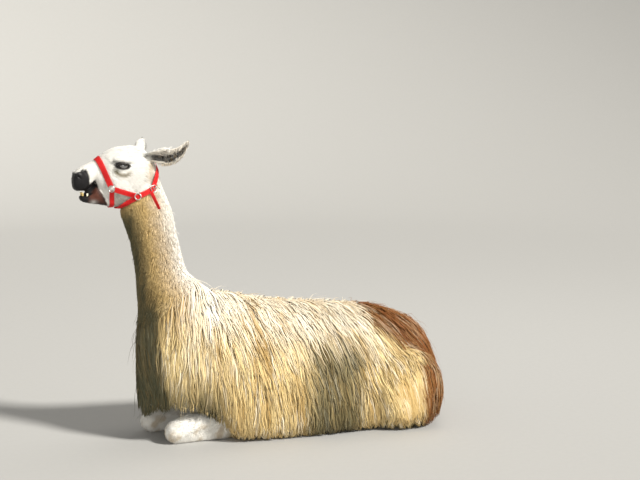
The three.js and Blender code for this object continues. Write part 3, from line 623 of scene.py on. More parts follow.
def body_marks(points, normals, head, uneven):
    """Behind the head: a white crest on neck and back, partly painted light where nape, withers and back face
    the light; painted shade on the throat, on the chest, deep under the chest and under the fleece near the
    floor; a painted cast shadow across the middle of the flank; fawn streaks along the sides, a russet saddle
    on rump and tail, and stained white knees. Places across the neck are shares of its chord, from 0 at the
    throat to 1 at the nape. Streaks are wobbles that are stretched downwards, and slanting edges are straight
    lines in x and z."""
    x, y, z = points.T
    keys = np.array(NECK, float) * MM
    front = np.interp(z, keys[:, 1], keys[:, 0])
    chord = (x - front) / (np.interp(z, keys[:, 3], keys[:, 2]) - front)
    body = 1 - head
    neck = body * step(0.50, 0.62, z - 0.4 * (x + 0.5).clip(0, 1)) * step(-0.47, -0.56, x)
    flank = step(-0.62, -0.50, x) * (1 - neck) * body
    # Painted shade on the front of the chest, in grey, with some fawn.
    chest = step(-0.615, -0.70, x + 0.025 * uneven - 0.05 * step(0.26, 0.16, z)) * step(0.70, 0.56, z)
    shade_under_chest = step(0.235, 0.175, z) * step(-0.43, -0.50, x)  # painted shade deep under the chest
    near = step(0.12, 0.03, y)                            # less painted shade and shadow on the right side
    low = step(0.42, 0.20, z)
    streaks = wobble(points * (2.4, 1, 0.22), 42, 9)
    fine = wobble(points * (2.6, 1, 0.15), 120, 31)

    # Painted shade on the front of the neck, towards the throat.
    painted_shade = step(0.40, 0.08, chord + 0.05 * fine) * step(1.0, 0.90, z)
    # Painted cast shadow across the middle of the flank, weaker on the right side, with faint darker streaks
    # low down.
    shade = between(x, -0.15, -0.06, 0.07, 0.17) * step(0.48, 0.36, z) * (0.25 + 0.75 * near)
    painted_shadow_and_streaks = np.clip(shade * (1.0 + 0.45 * wobble(points * (2.0, 1, 0.2), 70, 12)) + 0.16 * low * fine, 0, 1)
    # Painted shade under the fleece near the floor and deep under the chest.
    under = np.maximum(step(0.028, 0.0, z - hem_height(points)) * step(0.30, 0.20, z), shade_under_chest)

    patch = bell(x, -0.29, 0.05) * bell(z, 0.42, 0.08)
    warm = np.clip(0.22 + 0.40 * streaks + 0.25 * fine + 0.14 * low + 0.22 * step(0.20, 0.34, x)
                   + 0.5 * patch, 0, 1)
    throat = neck * step(0.92, 0.55, chord)
    rear = step(0.355, 0.415, x + 0.02 * uneven + 0.12 * (z - 0.2)) * (1.02 + 0.28 * fine)
    saddle = (step(0.165, 0.200, x + 0.015 * uneven)
              * step(-0.014, 0.010, z - 0.470 + 0.50 * (x - 0.17) + 0.008 * uneven))

    # Partly painted light: top whitens the back where it faces up, light pales the upper flank except inside
    # the painted shadow, and withers is a painted highlight at the base of the neck; the neck's white towards
    # the nape is partly painted light too.
    top = step(0.30, 0.80, normals[:, 2]) * step(0.22, 0.15, x)
    light = step(0.30, 0.50, z) * np.clip(0.22 + 0.50 * fine + 0.40 * step(-0.40, -0.58, x), 0, 1)
    withers = bell(x, -0.49, 0.085) * step(0.50, 0.57, z)
    stripe = bell(x, -0.572 + 0.15 * (z - 0.5), 0.034) * step(0.28, 0.52, z) * (0.75 + 0.35 * fine)
    pale = np.maximum(withers, stripe)
    crest = np.maximum(neck * step(0.30, 0.72, chord + 0.06 * uneven),
                       flank * np.maximum(np.maximum(0.66 * top, 0.48 * light * (1 - 0.8 * shade)), pale))
    legs = step(0.135, 0.115, z) * step(0.165, 0.150, np.abs(y)) * step(-0.37, -0.42, x)
    soil = legs * step(0.1, 0.8, wobble(points, 75, 15)) * step(0.10, 0.05, z)

    # Besides the streaks, fawn and grey here carry the painted cast shadow on the flank and painted shade on
    # neck, chest and under the fleece.
    fawn = flank * (0.85 * warm * (1 - 0.85 * pale.clip(0, 1)) + 0.30 * painted_shadow_and_streaks)
    grey = np.maximum(neck * painted_shade, 0.96 * chest) * (0.60 + 0.40 * near) + 0.86 * flank * painted_shadow_and_streaks + 0.80 * under
    coat = body * (1 - legs)
    return {
        "russet": np.clip(np.maximum(saddle, rear), 0, 1) * body,
        "fawn": np.clip(0.62 * throat + 0.35 * chest + fawn, 0, 1) * coat + 0.45 * soil,
        "grey": np.clip(grey, 0, 1) * coat + 0.15 * soil,
        "white": np.maximum(0.92 * crest.clip(0, 1) * body, 0.95 * legs)}


def markings(points, normals):
    """The coat's colours as shares from 0 to 1 at each point, the same for skin and coat. The inside of the
    mouth is painted black as shade: faces near the midline that look down from the palate, up from below, or
    lie along the slit between them."""
    x, y, z = points.T
    head = np.maximum(step(-0.006, 0.004, throat_line(points)), step(1.110, 1.135, z))
    face = face_marks(points, wobble(points, 260, 5))
    ear, hollow = ear_marks(points, normals)
    body = body_marks(points, normals, head, wobble(points, 60, 3))
    # Painted shade: the inside of the mouth is black.
    mouth = step(0.026, 0.020, np.abs(y)) * step(-0.885, -0.895, x) * (
        step(-0.3, -0.7, normals[:, 2]) * step(1.004, 1.014, z)
        + step(0.3, 0.7, normals[:, 2]) * step(1.034, 1.022, z)
        + bell(z, 1.022 + 0.6 * (x + 0.930), 0.016))
    head = np.maximum(head, face["lip"])
    return {
        "black": np.clip(face["black"] * head + ear + mouth * head, 0, 1),
        "lip": face["lip"],
        "fawn": np.clip(face["fawn"] * head + body["fawn"] + 0.25 * hollow * (1 - ear), 0, 1),
        "russet": body["russet"],
        "white": np.clip(0.96 * head + face["white"] + body["white"], 0, 1),
        "grey": np.clip(face["grey"] * head + body["grey"], 0, 1)}


FLOOR_GAP = 0.0015            # how far the skin stays above the floor
HEAD_START, HEAD_FULL = 0.93, 0.96  # heights between which the face's folds come in


def make_skin(cell):
    """The whole animal's skin as one surface: the body forms are joined in magnified space, where
    one cell size gives the head far finer detail, then put back, and the face is worked on."""
    vertices, faces = joined(flesh_tubes())
    skin = new_piece("skin", magnified(vertices), faces)
    remesh = skin.modifiers.new("join", "REMESH")
    remesh.mode, remesh.voxel_size, remesh.use_smooth_shade = "VOXEL", cell, True
    ease = skin.modifiers.new("ease", "SMOOTH")
    ease.factor, ease.iterations = 0.5, 5
    apply_modifiers(skin)
    mesh = skin.data
    move_points(mesh, reduced(read_mesh(mesh)[0]))
    points, normals, _ = read_mesh(mesh)
    on_head = step(HEAD_START, HEAD_FULL, points[:, 2])[:, None]
    for line, width, depth in FACE_FOLDS:
        points = points * (1 - on_head) + groove(points, normals, line, width, depth) * on_head
    for side in (LEFT, RIGHT):
        for opening in (EYE_OPENING, NOSTRIL):
            points = sink(points, opening, side)
    points[:, 2] = np.maximum(points[:, 2], FLOOR_GAP)
    move_points(mesh, points)
    marks = markings(*read_mesh(mesh)[:2])
    for name in MARKS:
        store(mesh, name, marks[name])
    return skin


# ---------------- coat
def feed(tree, node, values):
    """Sets a node's inputs, or joins them to other nodes' outputs."""
    for socket, value in values.items():
        if isinstance(value, bpy.types.NodeSocket):
            tree.links.new(value, node.inputs[socket])
        else:
            node.inputs[socket].default_value = value


def add_node(tree, kind, inputs, **settings):
    """Adds a node of any kind, and gives back its outputs."""
    made = tree.nodes.new(kind)
    for name, value in settings.items():
        setattr(made, name, value)
    feed(tree, made, inputs)
    return made.outputs


def make_finder(skin):
    """An object of loose points whose modifier looks up, for each point, the nearest place on the
    skin and the way the skin faces there."""
    tree = bpy.data.node_groups.new("nearest skin", "GeometryNodeTree")
    for end in ("INPUT", "OUTPUT"):
        tree.interface.new_socket("Geometry", in_out=end, socket_type="NodeSocketGeometry")
    vector = {"data_type": "FLOAT_VECTOR"}
    flow = add_node(tree, "NodeGroupInput", {})[0]
    shape = add_node(tree, "GeometryNodeObjectInfo", {"Object": skin})["Geometry"]
    facing = add_node(tree, "GeometryNodeInputNamedAttribute", {"Name": "facing"}, **vector)[0]
    place = add_node(tree, "GeometryNodeInputPosition", {})[0]
    for name, value in (("near_place", place), ("near_facing", facing)):
        found = add_node(tree, "GeometryNodeSampleNearestSurface", {"Mesh": shape, "Value": value}, **vector)
        kept = {"Geometry": flow, "Name": name, "Value": found["Value"]}
        flow = add_node(tree, "GeometryNodeStoreNamedAttribute", kept, domain="POINT", **vector)["Geometry"]
    add_node(tree, "NodeGroupOutput", {0: flow})
    finder = add_to_scene("finder", bpy.data.meshes.new("finder"))
    finder.modifiers.new("nearest", "NODES").node_group = tree
    return finder


def remove_finder(finder):
    """Takes the finder and its node group out of the file."""
    tree, mesh = finder.modifiers[0].node_group, finder.data
    bpy.data.objects.remove(finder)
    bpy.data.meshes.remove(mesh)
    bpy.data.node_groups.remove(tree)


def nearest(finder, points):
    """The nearest places on the skin and the skin's facing there."""
    mesh = finder.data
    if len(mesh.vertices) != len(points):
        mesh.clear_geometry()
        mesh.vertices.add(len(points))
    move_points(mesh, points)
    finder.update_tag()
    shown = finder.evaluated_get(bpy.context.evaluated_depsgraph_get()).data
    found = np.empty((2, 3 * len(points)), np.float32)
    for values, name in zip(found, ("near_place", "near_facing")):
        shown.attributes[name].data.foreach_get("vector", values)
    place, facing = found.reshape(2, -1, 3).astype(float)
    return place, unit(facing)


def eased_normals(normals, faces, rounds=6):
    """Normals averaged over each point's neighbours, several times over."""
    for _ in range(rounds):
        total = normals.copy()
        for a, b in ((0, 1), (1, 2), (2, 0)):
            for axis in range(3):
                for here, there in ((a, b), (b, a)):
                    carried = normals[faces[:, there], axis]
                    total[:, axis] += np.bincount(faces[:, here], carried, len(normals))
        normals = unit(total)
    return normals


class Skin:
    """The finished skin's arrays: points, normals, triangles and markings."""

    def __init__(self):
        self.piece = bpy.data.objects["skin"]
        self.points, self.normals, self.faces = read_mesh(self.piece.data)
        self.marks = {}
        for name in MARKS:
            values = np.empty(len(self.points), np.float32)
            self.piece.data.attributes[name].data.foreach_get("value", values)
            self.marks[name] = values

    def sow(self, density, count, rng):
        """Roots spread over the skin in proportion to area times density, one in each equal share."""
        corner = self.points[self.faces]
        area = np.linalg.norm(np.cross(corner[:, 1] - corner[:, 0], corner[:, 2] - corner[:, 0]), axis=1)
        total = np.cumsum(area * density[self.faces].mean(1))
        spot = (np.arange(count) + rng.uniform(size=count)) / count * total[-1]
        chosen = self.faces[np.minimum(np.searchsorted(total, spot), len(self.faces) - 1)]
        u, v = rng.uniform(size=(2, count))
        root = np.sqrt(u)
        share = np.stack((1 - root, root * (1 - v), root * v), -1)

        def blend(values):
            return np.einsum("nk,nk...->n...", share, values[chosen])

        return blend(self.points), unit(blend(self.normals)), {k: blend(v) for k, v in self.marks.items()}


def comb(finder, roots, facing, want, length, lift, steps, hang, low, slide=0.35):
    """Paths of hairs from their roots, and the skin's facing along them. Each stride follows the wanted
    heading made square to the skin, climbs towards lift times the square root of the share of its
    length done, hangs freely where the skin turns under, and slides outwards where it would sink
    below low."""
    path = np.empty((len(roots), steps + 1, 3))
    way = np.empty_like(path)
    p, near, face = roots.copy(), roots, facing
    stride = (length / steps)[:, None]
    low = np.broadcast_to(low, len(roots))
    down = np.array((0.0, 0.0, -1.0))
    for k in range(steps + 1):
        path[:, k], way[:, k] = p, face
        flat = unit(want - face * np.sum(want * face, axis=1, keepdims=True))
        loose = (hang * step(0.05, -0.45, face[:, 2]))[:, None]
        direction = unit(flat * (1 - loose) + down * loose)
        height = np.sum((p - near) * face, axis=1, keepdims=True)
        rise = ((lift * math.sqrt((k + 1) / steps))[:, None] - height) / stride
        direction = unit(direction + face * np.clip(rise, -0.5 * (1 - loose), 1.1))
        p = p + direction * stride
        under = low[:, None] - p[:, 2:3]
        out = unit(face * (1, 1, 0) + 1e-6)
        p = np.where(under > 0, p + out * np.minimum(under, stride) * slide, p)
        p[:, 2] = np.maximum(p[:, 2], low)
        near, face = nearest(finder, p)
    return path, way


def gather(path, cell, pull, rng, warp=0.35, waves=40, late=1.3):
    """Draws hairs together into locks: those whose roots share a cell of a jittered and gently warped
    grid lean towards their mean path, by pull times a power of the share along the hair. Also
    gives each hair the number of its lock."""
    root = path[:, 0]
    shift = rng.uniform(size=3) * cell
    key = np.floor((root + shift + warp * cell * np.sin(root[:, [1, 2, 0]] * waves)) / cell).astype(int)
    key = key @ np.array((1, 4093, 4093 * 4093))  # a prime keeps the three cell numbers apart
    group = np.unique(key, return_inverse=True)[1].ravel()
    number = np.bincount(group).astype(float)
    mean = np.empty((len(number),) + path.shape[1:])
    for k in range(path.shape[1]):
        for axis in range(3):
            mean[:, k, axis] = np.bincount(group, path[:, k, axis]) / number
    along = np.linspace(0, 1, path.shape[1])[None, :, None] ** late
    return path + (mean[group] - path) * along * pull, group


def sway(path, way, group, amount, waves, rng):
    """Bends each hair sideways in a sine that widens towards its tip, nearly in step within a lock."""
    phase = rng.uniform(0, FULL_TURN, group.max() + 1)[group] + rng.normal(0, 0.35, len(path))
    size = amount * rng.uniform(0.4, 1.3, len(path))
    along = np.linspace(0, 1, path.shape[1])
    side = unit(np.cross(np.gradient(path, axis=1), way))
    bend = np.sin(FULL_TURN * waves * along[None, :] + phase[:, None]) - np.sin(phase)[:, None]
    return path + side * (bend * size[:, None] * along[None, :] ** 0.8)[:, :, None]


def per_corner(values):
    """Figures for each ring of each hair, repeated for its three corners and given once at the tip."""
    return np.concatenate((np.repeat(values[:, :-1], 3, axis=1), values[:, -1:]), 1)


ROOT_SHARE, TIP_SHARE = 0.55, 0.06  # a hair's width at its root and tip, as shares of its full width


def lock_arrays(path, way, width, thickness):
    """Tapering three-sided hairs: at each ring two corners lie half a width to both sides and the third
    stands up by the thickness, and the last ring closes in a point. The width swells from the root
    over two thirds of the hair as a quarter of a sine, and falls off as a power of the share along."""
    number, rings = path.shape[0], path.shape[1] - 1
    along = np.linspace(0, 1, rings + 1)[:-1]
    swell = np.sin(np.pi * np.minimum(along * 1.5, 1) ** 0.8 * 0.5)
    taper = (ROOT_SHARE + (1 - ROOT_SHARE) * swell) * (1 - along ** 2.2 * (1 - TIP_SHARE))
    direction = unit(np.gradient(path, axis=1))
    side = unit(np.cross(direction, way))
    up = np.cross(side, direction)[:, :-1] * (thickness[:, None] * taper)[:, :, None]
    side = side[:, :-1] * (width[:, None] / 2 * taper)[:, :, None]
    centre = path[:, :-1]
    ring = np.stack((centre - side, centre + up, centre + side), 2)
    vertices = np.concatenate((ring.reshape(number, -1, 3), path[:, -1:]), 1)
    edges, tip = ((0, 1), (1, 2), (2, 0)), 3 * rings
    faces = []
    for a in range(0, tip - 3, 3):
        for i, j in edges:
            faces += [(a + i, a + j, a + 3 + i), (a + j, a + 3 + j, a + 3 + i)]
    faces += [(tip - 3 + i, tip - 3 + j, tip) for i, j in edges]
    faces.append((0, 2, 1))
    faces = (np.array(faces)[None] + (np.arange(number) * (tip + 1))[:, None, None]).reshape(-1, 3)
    return vertices.reshape(-1, 3), faces


MAP_MARGIN, MAP_SPAN, PATCH = 0.01, 0.975, 0.003  # a map's edge, its size, and that of one hair in it


def unwrapped(roots, axis, centre):
    """The roots' places on an unwrap of their own stretch of skin: along one axis of the body and
    round it, each scaled to fill the map."""
    others = [i for i in range(3) if i != axis]
    turn = np.arctan2(roots[:, others[1]] - centre[1], roots[:, others[0]] - centre[0])
    turn = np.where(turn < -np.pi / 2, turn + 2 * np.pi, turn)
    flat = np.stack((roots[:, axis], turn), -1)
    low, high = flat.min(0), flat.max(0)
    return MAP_MARGIN + MAP_SPAN * (flat - low) / np.maximum(high - low, 1e-6)


COAT_PROUD = np.array((0.012, 0.010, 0.012))  # how far tips may stand out of the solids' box, by axis


def contained(path):
    """Eases hairs back where they would stand too far out of the solids' box: past the box, further
    travel fades as a hyperbolic tangent."""
    over = path - np.clip(path, *np.array(CAD_BOX))
    return path - over + COAT_PROUD * np.tanh(over / COAT_PROUD)


# How one kind of hair lies: its slot; the body's axis and centre that its map unrolls about; strides of
# its path, how freely it hangs and how low it may come in them; the floor for its bent path; locks that it
# gathers in, as sizes and shares that tips draw together; how far it bends and how often; thickness as a
# share of width; least and greatest share of the usual width; how far its shading follows the skin.
Habit = namedtuple("Habit", "slot around strides hang low floor locks bend bends flat widths soft")
FLANK_HABIT = Habit("cream_fleece", (0, (0.0, 0.25)), 7, 1.0, 0.003, 0.003, ((0.085, 0.28), (0.024, 0.50)),
                    0.0065, 1.2, 0.3, (0.55, 1.25), 0.5)
NECK_HABIT = Habit("cream_fleece", (2, (-0.66, 0.0)), 3, 0.4, 0.004, 0.0, ((0.050, 0.15), (0.013, 0.45)),
                   0.0030, 1.5, 0.35, (0.6, 1.3), 0.5)
FACE_HABIT = Habit("white_fur", (0, (0.0, 1.06)), 3, 0.2, 0.004, 0.0, ((0.008, 0.40),),
                   0.0006, 0.8, 0.3, (0.7, 1.3), 0.75)
EAR_HABIT = Habit("white_fur", (0, (0.0, 1.12)), 4, 0.0, 0.004, 0.0, ((0.007, 0.40),),
                  0.0008, 0.8, 0.3, (0.6, 1.3), 0.5)
LEG_HABIT = Habit("white_fur", (0, (0.1, 0.06)), 3, 0.2, 0.002, 0.002, ((0.010, 0.45),),
                  0.0008, 0.8, 0.3, (0.6, 1.3), 0.5)
TAIL_HABIT = Habit("russet_fleece", (2, (0.5, 0.0)), 6, 0.7, 0.01, 0.0, ((0.028, 0.50),),
                   0.0060, 1.1, 0.3, (0.6, 1.2), 0.5)
STRAY_HABIT = Habit("cream_fleece", (0, (0.0, 0.3)), 7, 1.0, 0.02, 0.0, (), 0.0060, 1.4, 0.6, (0.7, 1.4), 0.5)
STRAND_WIDTH, STRAND_RATE = 0.008, 10  # metres of width, and units for a metre of length, on the strand map
Bed = namedtuple("Bed", "skin finder sizes material")  # what every stretch of coat grows from


def laid(bed, habit, roots, facing, want, length, lift, rng, low=None):
    """Hairs combed over the skin, gathered into locks and bent, as their habit says: their paths, the
    skin's facing along them, and the number of each hair's lock."""
    path, way = comb(bed.finder, roots, facing, want, length, lift, habit.strides, habit.hang,
                     habit.low if low is None else low)
    group = np.arange(len(path))
    for size, pull in habit.locks:
        path, group = gather(path, size, pull, rng)
    path = sway(path, way, group, habit.bend, habit.bends, rng)
    path[..., 2] = np.maximum(path[..., 2], habit.floor)
    return path, way, group


def coat_piece(bed, name, habit, path, way, group, width, marks, rng, painted_shade=None):
    """One mesh of hairs with their markings, and with both maps: OFBake, where each hair is a small
    patch at its root's place, and strand, which runs across and along each hair."""
    number, rings = path.shape[0], path.shape[1] - 1
    path = contained(path)
    vertices, faces = lock_arrays(path, way, width, width * habit.flat)
    piece = new_piece(name, vertices, faces, bed.material)
    mesh = piece.data
    along = np.append(np.repeat(np.arange(rings), 3) / rings, 1.0)
    across = np.append(np.tile((0.0, 0.5, 1.0), rings), 0.5)
    patch = unwrapped(path[:, 0], *habit.around)[:, None, :] + PATCH * np.stack((across, along), -1)[None]
    store_uv(mesh, "OFBake", patch.reshape(-1, 2), faces)
    length = np.linalg.norm(np.diff(path, axis=1), axis=2).sum(1)
    offset = rng.uniform(0, 50, (number, 2))
    strand = np.stack((across[None] * (width / STRAND_WIDTH)[:, None] + offset[:, :1],
                       along[None] * length[:, None] * STRAND_RATE + offset[:, 1:]), -1)
    store_uv(mesh, "strand", strand.reshape(-1, 2), faces)
    store(mesh, "along", np.tile(along, number))
    in_lock = rng.uniform(size=group.max() + 1)[group]
    tone = 0.35 * in_lock + 0.65 * rng.uniform(size=number)
    store(mesh, "tone", np.repeat(tone, len(along)))
    for mark in MARKS:
        shares = np.repeat(marks[mark], len(along))
        # The extra grey given for each ring is painted shade.
        if mark == "grey" and painted_shade is not None:
            shares = np.clip(shares + per_corner(painted_shade).ravel(), 0, 1)
        store(mesh, mark, shares)
    own, lying = read_mesh(mesh)[1], per_corner(way).reshape(-1, 3)
    mesh.normals_split_custom_set_from_vertices(unit(own * (1 - habit.soft) + lying * habit.soft))
    return fitted(piece, habit.slot)


# Places along x on the flank, and how far its locks lean back high up and low down there.
FLANK_PLACES = (-0.70, -0.60, -0.50, -0.40, -0.25, -0.05, 0.15, 0.35, 0.52)
LEAN_HIGH = (-0.50, -0.32, 0.0, 0.26, 0.36, 0.42, 0.50, 0.80, 0.95)
LEAN_LOW = (-0.26, -0.30, -0.24, -0.14, 0.0, 0.10, 0.18, 0.30, 0.45)
HEM_PLACES = (-0.74, -0.70, -0.63, -0.53, -0.45, -0.385, -0.37, 0.0, 0.25)
HEM_HEIGHTS = (0.100, 0.104, 0.130, 0.116, 0.072, 0.010, 0.0, 0.0, 0.030)
STRAP_LINE = ((-1.0, -0.826, -0.743, -0.682, -0.657, -0.500), (0.826, 0.942, 0.997, 1.026, 1.104, 1.591))


def flank_heading(roots):
    """Down and away from the parting along the back: forward over the chest, backward at the hip, and
    steeper near the ground."""
    high, low = (np.interp(roots[:, 0], FLANK_PLACES, lean) for lean in (LEAN_HIGH, LEAN_LOW))
    lean = low + (high - low) * step(0.24, 0.48, roots[:, 2])
    side = np.where(roots[:, 1] < 0, -1.0, 1.0)
    return np.stack((lean, side * 0.6, -np.ones(len(roots))), -1)


def hem_height(points):
    """How high the fleece ends above the floor: over the forelegs, and a little at the hip."""
    return np.interp(points[:, 0], HEM_PLACES, HEM_HEIGHTS)


def shoulder_line(points):
    """How far each point is above the line from the chest to the withers."""
    return points[:, 2] - (0.506 + (points[:, 0] + 0.760) * (0.686 - 0.506) / 0.26)


def throat_line(points):
    """How far each point is above the line that throat strap and crown strap follow."""
    return points[:, 2] - np.interp(points[:, 0], *STRAP_LINE)


def tail_share(points):
    """1 on the tail, 0 off it."""
    middle = np.array([((k[0] + k[2]) / 2, (k[1] + k[3]) / 2) for k in TAIL])
    far = near_line(points[:, [0, 2]], middle * MM)[0]
    return step(0.062, 0.045, far) * (np.abs(points[:, 1]) < 0.045) * step(0.47, 0.50, points[:, 0])


def leg_share(points):
    """1 on the forelegs in front of the chest, 0 elsewhere."""
    side = np.abs(points[:, 1])
    return step(0.132, 0.118, points[:, 2]) * (side < 0.16) * (side > 0.04) * step(-0.38, -0.42, points[:, 0])


def grow_flank(bed, side, rear):
    """The long fleece of one side, forward or rear half: it parts along the back, hangs down the
    side in wavy locks, and ends in an uneven hem near the ground and above the forelegs."""
    rng = np.random.default_rng(100 + 10 * rear + side)
    p, n = bed.skin.points, bed.skin.normals
    trunk = step(0.03, -0.03, shoulder_line(p)) * (1 - tail_share(p)) * (1 - leg_share(p))
    half = (p[:, 0] > -0.10) if rear else (p[:, 0] <= -0.10)
    floor_share = 0.3 + 0.7 * step(-0.30, -0.38, p[:, 0])
    bare = step(0.006, 0.026, p[:, 2] - hem_height(p) * floor_share) * step(-0.80, -0.55, n[:, 2])
    ledge = step(-0.62, -0.68, p[:, 0]) * step(0.25, 0.5, n[:, 2])
    count = bed.sizes.flank_locks
    density = trunk * half * (p[:, 1] * side > 0) * bare * (1 - 0.6 * ledge)
    roots, facing, marks = bed.skin.sow(density, count, rng)
    # The hem: how low each lock may reach, in notches of two sizes.
    ragged = step(-0.4, 0.9, wobble(roots * (1, 1, 0.05), 60, 21))
    nicks = step(0.0, 0.9, wobble(roots * (1, 1, 0.05), 190, 22))
    over_legs = step(-0.42, -0.52, roots[:, 0])
    hem = hem_height(roots) + 0.003 + (0.020 * ragged + 0.018 * nicks) * (1 + 0.5 * over_legs)
    hem = hem + rng.uniform(0, 0.020, count)
    hem = np.minimum(hem, np.where(roots[:, 0] > -0.38, 0.45 * roots[:, 2], roots[:, 2]))
    room = np.maximum(roots[:, 2] - hem, 0.0)
    # The locks: shorter and flatter along the back and in front of the chest.
    top = step(0.5, 0.95, facing[:, 2])
    front = step(-0.35, -0.85, facing[:, 0])
    length = bed.sizes.flank_length * (1 - 0.35 * top) * (1 - 0.2 * front) * rng.uniform(0.7, 1.15, count)
    length = np.minimum(length, 0.016 + room)
    lift = bed.sizes.flank_lift * rng.uniform(0.3, 1.0, count) * (1 - 0.15 * top) * (1 - 0.6 * front)
    stray = 0.16 * wobble(roots * (1, 1, 0.6), 150, 23) + rng.normal(0, 0.07, count)
    want = flank_heading(roots)
    want[:, 0] += stray
    low = np.maximum(hem - 0.05, FLANK_HABIT.low)
    path, way, group = laid(bed, FLANK_HABIT, roots, facing, want, length, lift, rng, low)
    width = bed.sizes.flank_width * rng.uniform(*FLANK_HABIT.widths, count)
    # The colours: whole locks differ, and tips over the forelegs get painted shade, more on some locks than
    # on others.
    tint = rng.uniform(size=group.max() + 1)[group]
    marks["fawn"] = np.clip(marks["fawn"] * (0.30 + 1.40 * tint), 0, 1)
    marks["white"] = np.maximum(marks["white"], 0.45 * step(0.25, 0.05, tint))
    marks["russet"] = marks["russet"] * (0.76 + 0.24 * step(0.05, 0.30, tint))
    # Painted shade on the tips low over the forelegs, from a quarter to full strength by lock.
    deep = 0.25 + 0.75 * step(0.25, 0.6, rng.uniform(size=group.max() + 1)[group])
    painted_shade = step(0.29, 0.14, path[..., 2]) * step(-0.38, -0.50, path[..., 0]) * deep[:, None]
    name = "fleece_%s_%s" % (("front", "rear")[rear], SIDE_NAMES[side])
    return coat_piece(bed, name, FLANK_HABIT, path, way, group, width, marks, rng, 0.8 * painted_shade)


def neck_heading(roots):
    """Down the neck, leaning forward where it widens into the chest."""
    lean = -0.10 - 0.28 * step(0.80, 0.55, roots[:, 2])
    return np.stack((lean, 0 * lean, -np.ones(len(roots))), -1)


def grow_neck(bed, side):
    """The soft crimped wool of one side of the neck, short under the throat and longer below."""
    rng = np.random.default_rng(200 + side)
    p = bed.skin.points
    density = (step(-0.04, 0.0, shoulder_line(p)) * step(0.02, -0.02, throat_line(p))
               * (p[:, 1] * side > 0) * step(0.0, 0.02, p[:, 2] - 0.40) * (p[:, 0] > -0.83))
    density = density * (1 + 0.8 * step(0.75, 1.0, p[:, 2])) * strap_clear(p)
    count = bed.sizes.neck_hairs
    roots, facing, marks = bed.skin.sow(density, count, rng)
    z = roots[:, 2]
    low, high = step(0.80, 0.55, z), step(0.86, 1.02, z)
    length = bed.sizes.neck_length * (1 + 1.1 * low - 0.35 * high) * rng.uniform(0.65, 1.2, count)
    lift = bed.sizes.neck_lift * (1 + 0.8 * low - 0.45 * high) * rng.uniform(0.35, 1.1, count)
    front = step(-0.2, -0.7, facing[:, 0])
    length = np.where(front > 0, np.minimum(length, 0.020 + (z - 0.480).clip(0) + 0.1 * (1 - front)), length)
    lift = lift * (1 - 0.25 * front * step(0.66, 0.56, z))
    want = neck_heading(roots) + rng.normal(0, 0.26, (count, 3))
    path, way, group = laid(bed, NECK_HABIT, roots, facing, want, length, lift, rng)
    width = bed.sizes.neck_width * (1 + 0.4 * low) * rng.uniform(*NECK_HABIT.widths, count)
    return coat_piece(bed, "neck_wool_" + SIDE_NAMES[side], NECK_HABIT, path, way, group, width, marks, rng)


def face_heading(roots):
    """Back from the nose, and down over the cheek and jaw."""
    cheek = step(1.15, 1.02, roots[:, 2])
    return np.stack((np.ones(len(roots)), 0.25 * np.sign(roots[:, 1]), -0.15 - 0.75 * cheek), -1)


def strap_clear(points):
    """0 under the halter's straps and 1 well away from them."""
    flat = points[:, [0, 2]] / MM
    runs = [(FRONT_RING, NOSEBAND_TOP), (FRONT_RING, CHIN), (FRONT_RING, REAR_RING), (REAR_RING, THROAT),
            (REAR_RING, BUCKLE), (BUCKLE, NAPE), ((-743, 1007), (-830, 950))]
    far = np.min([near_line(flat, np.array(run, float))[0] for run in runs], axis=0)
    loose = near_line(flat, np.array(LOOSE_END, float))[0] + 100 * (points[:, 1] > 0)
    return step(9, 13, np.minimum(far, loose + 2))


def grow_face(bed):
    """Short close fur over the head, longest on cheek, jaw and crown, finest about the nose."""
    rng = np.random.default_rng(300)
    p = bed.skin.points
    ear = np.minimum(*(near_line(p, np.array(EARS[s][0], float) * MM)[0] for s in (LEFT, RIGHT)))
    opening = np.hypot((p[:, 0] + 0.799) / 0.030, (p[:, 2] - 1.119) / 0.018)
    bare = step(1.0, 1.25, opening) * (1 - 0.75 * bed.skin.marks["black"]) * (1 - 0.6 * bed.skin.marks["lip"])
    density = step(-0.02, 0.01, throat_line(p)) * (p[:, 0] < -0.62) * step(0.006, 0.014, ear) * bare
    count = bed.sizes.face_hairs
    roots, facing, marks = bed.skin.sow(density * strap_clear(p), count, rng)
    x, z = roots[:, 0], roots[:, 2]
    back = step(-0.86, -0.76, x)
    muzzle = step(-0.88, -0.93, x)
    crown = step(1.16, 1.19, z) * step(-0.80, -0.73, x)
    jowl = step(1.02, 0.97, z) * back
    nape = step(-0.70, -0.655, x)
    length = bed.sizes.face_length * (1 + 0.35 * back - 0.45 * muzzle + 0.7 * crown + 0.6 * jowl + 1.2 * nape)
    length = length * rng.uniform(0.7, 1.25, count)
    lift = 0.0018 + 0.0022 * back + 0.004 * crown + 0.004 * jowl + 0.008 * nape
    lift = lift * rng.uniform(0.5, 1.3, count)
    path, way, group = laid(bed, FACE_HABIT, roots, facing, face_heading(roots), length, lift, rng)
    width = bed.sizes.face_width * (1 - 0.3 * muzzle + 0.5 * nape) * rng.uniform(*FACE_HABIT.widths, count)
    return coat_piece(bed, "face_fur", FACE_HABIT, path, way, group, width, marks, rng)


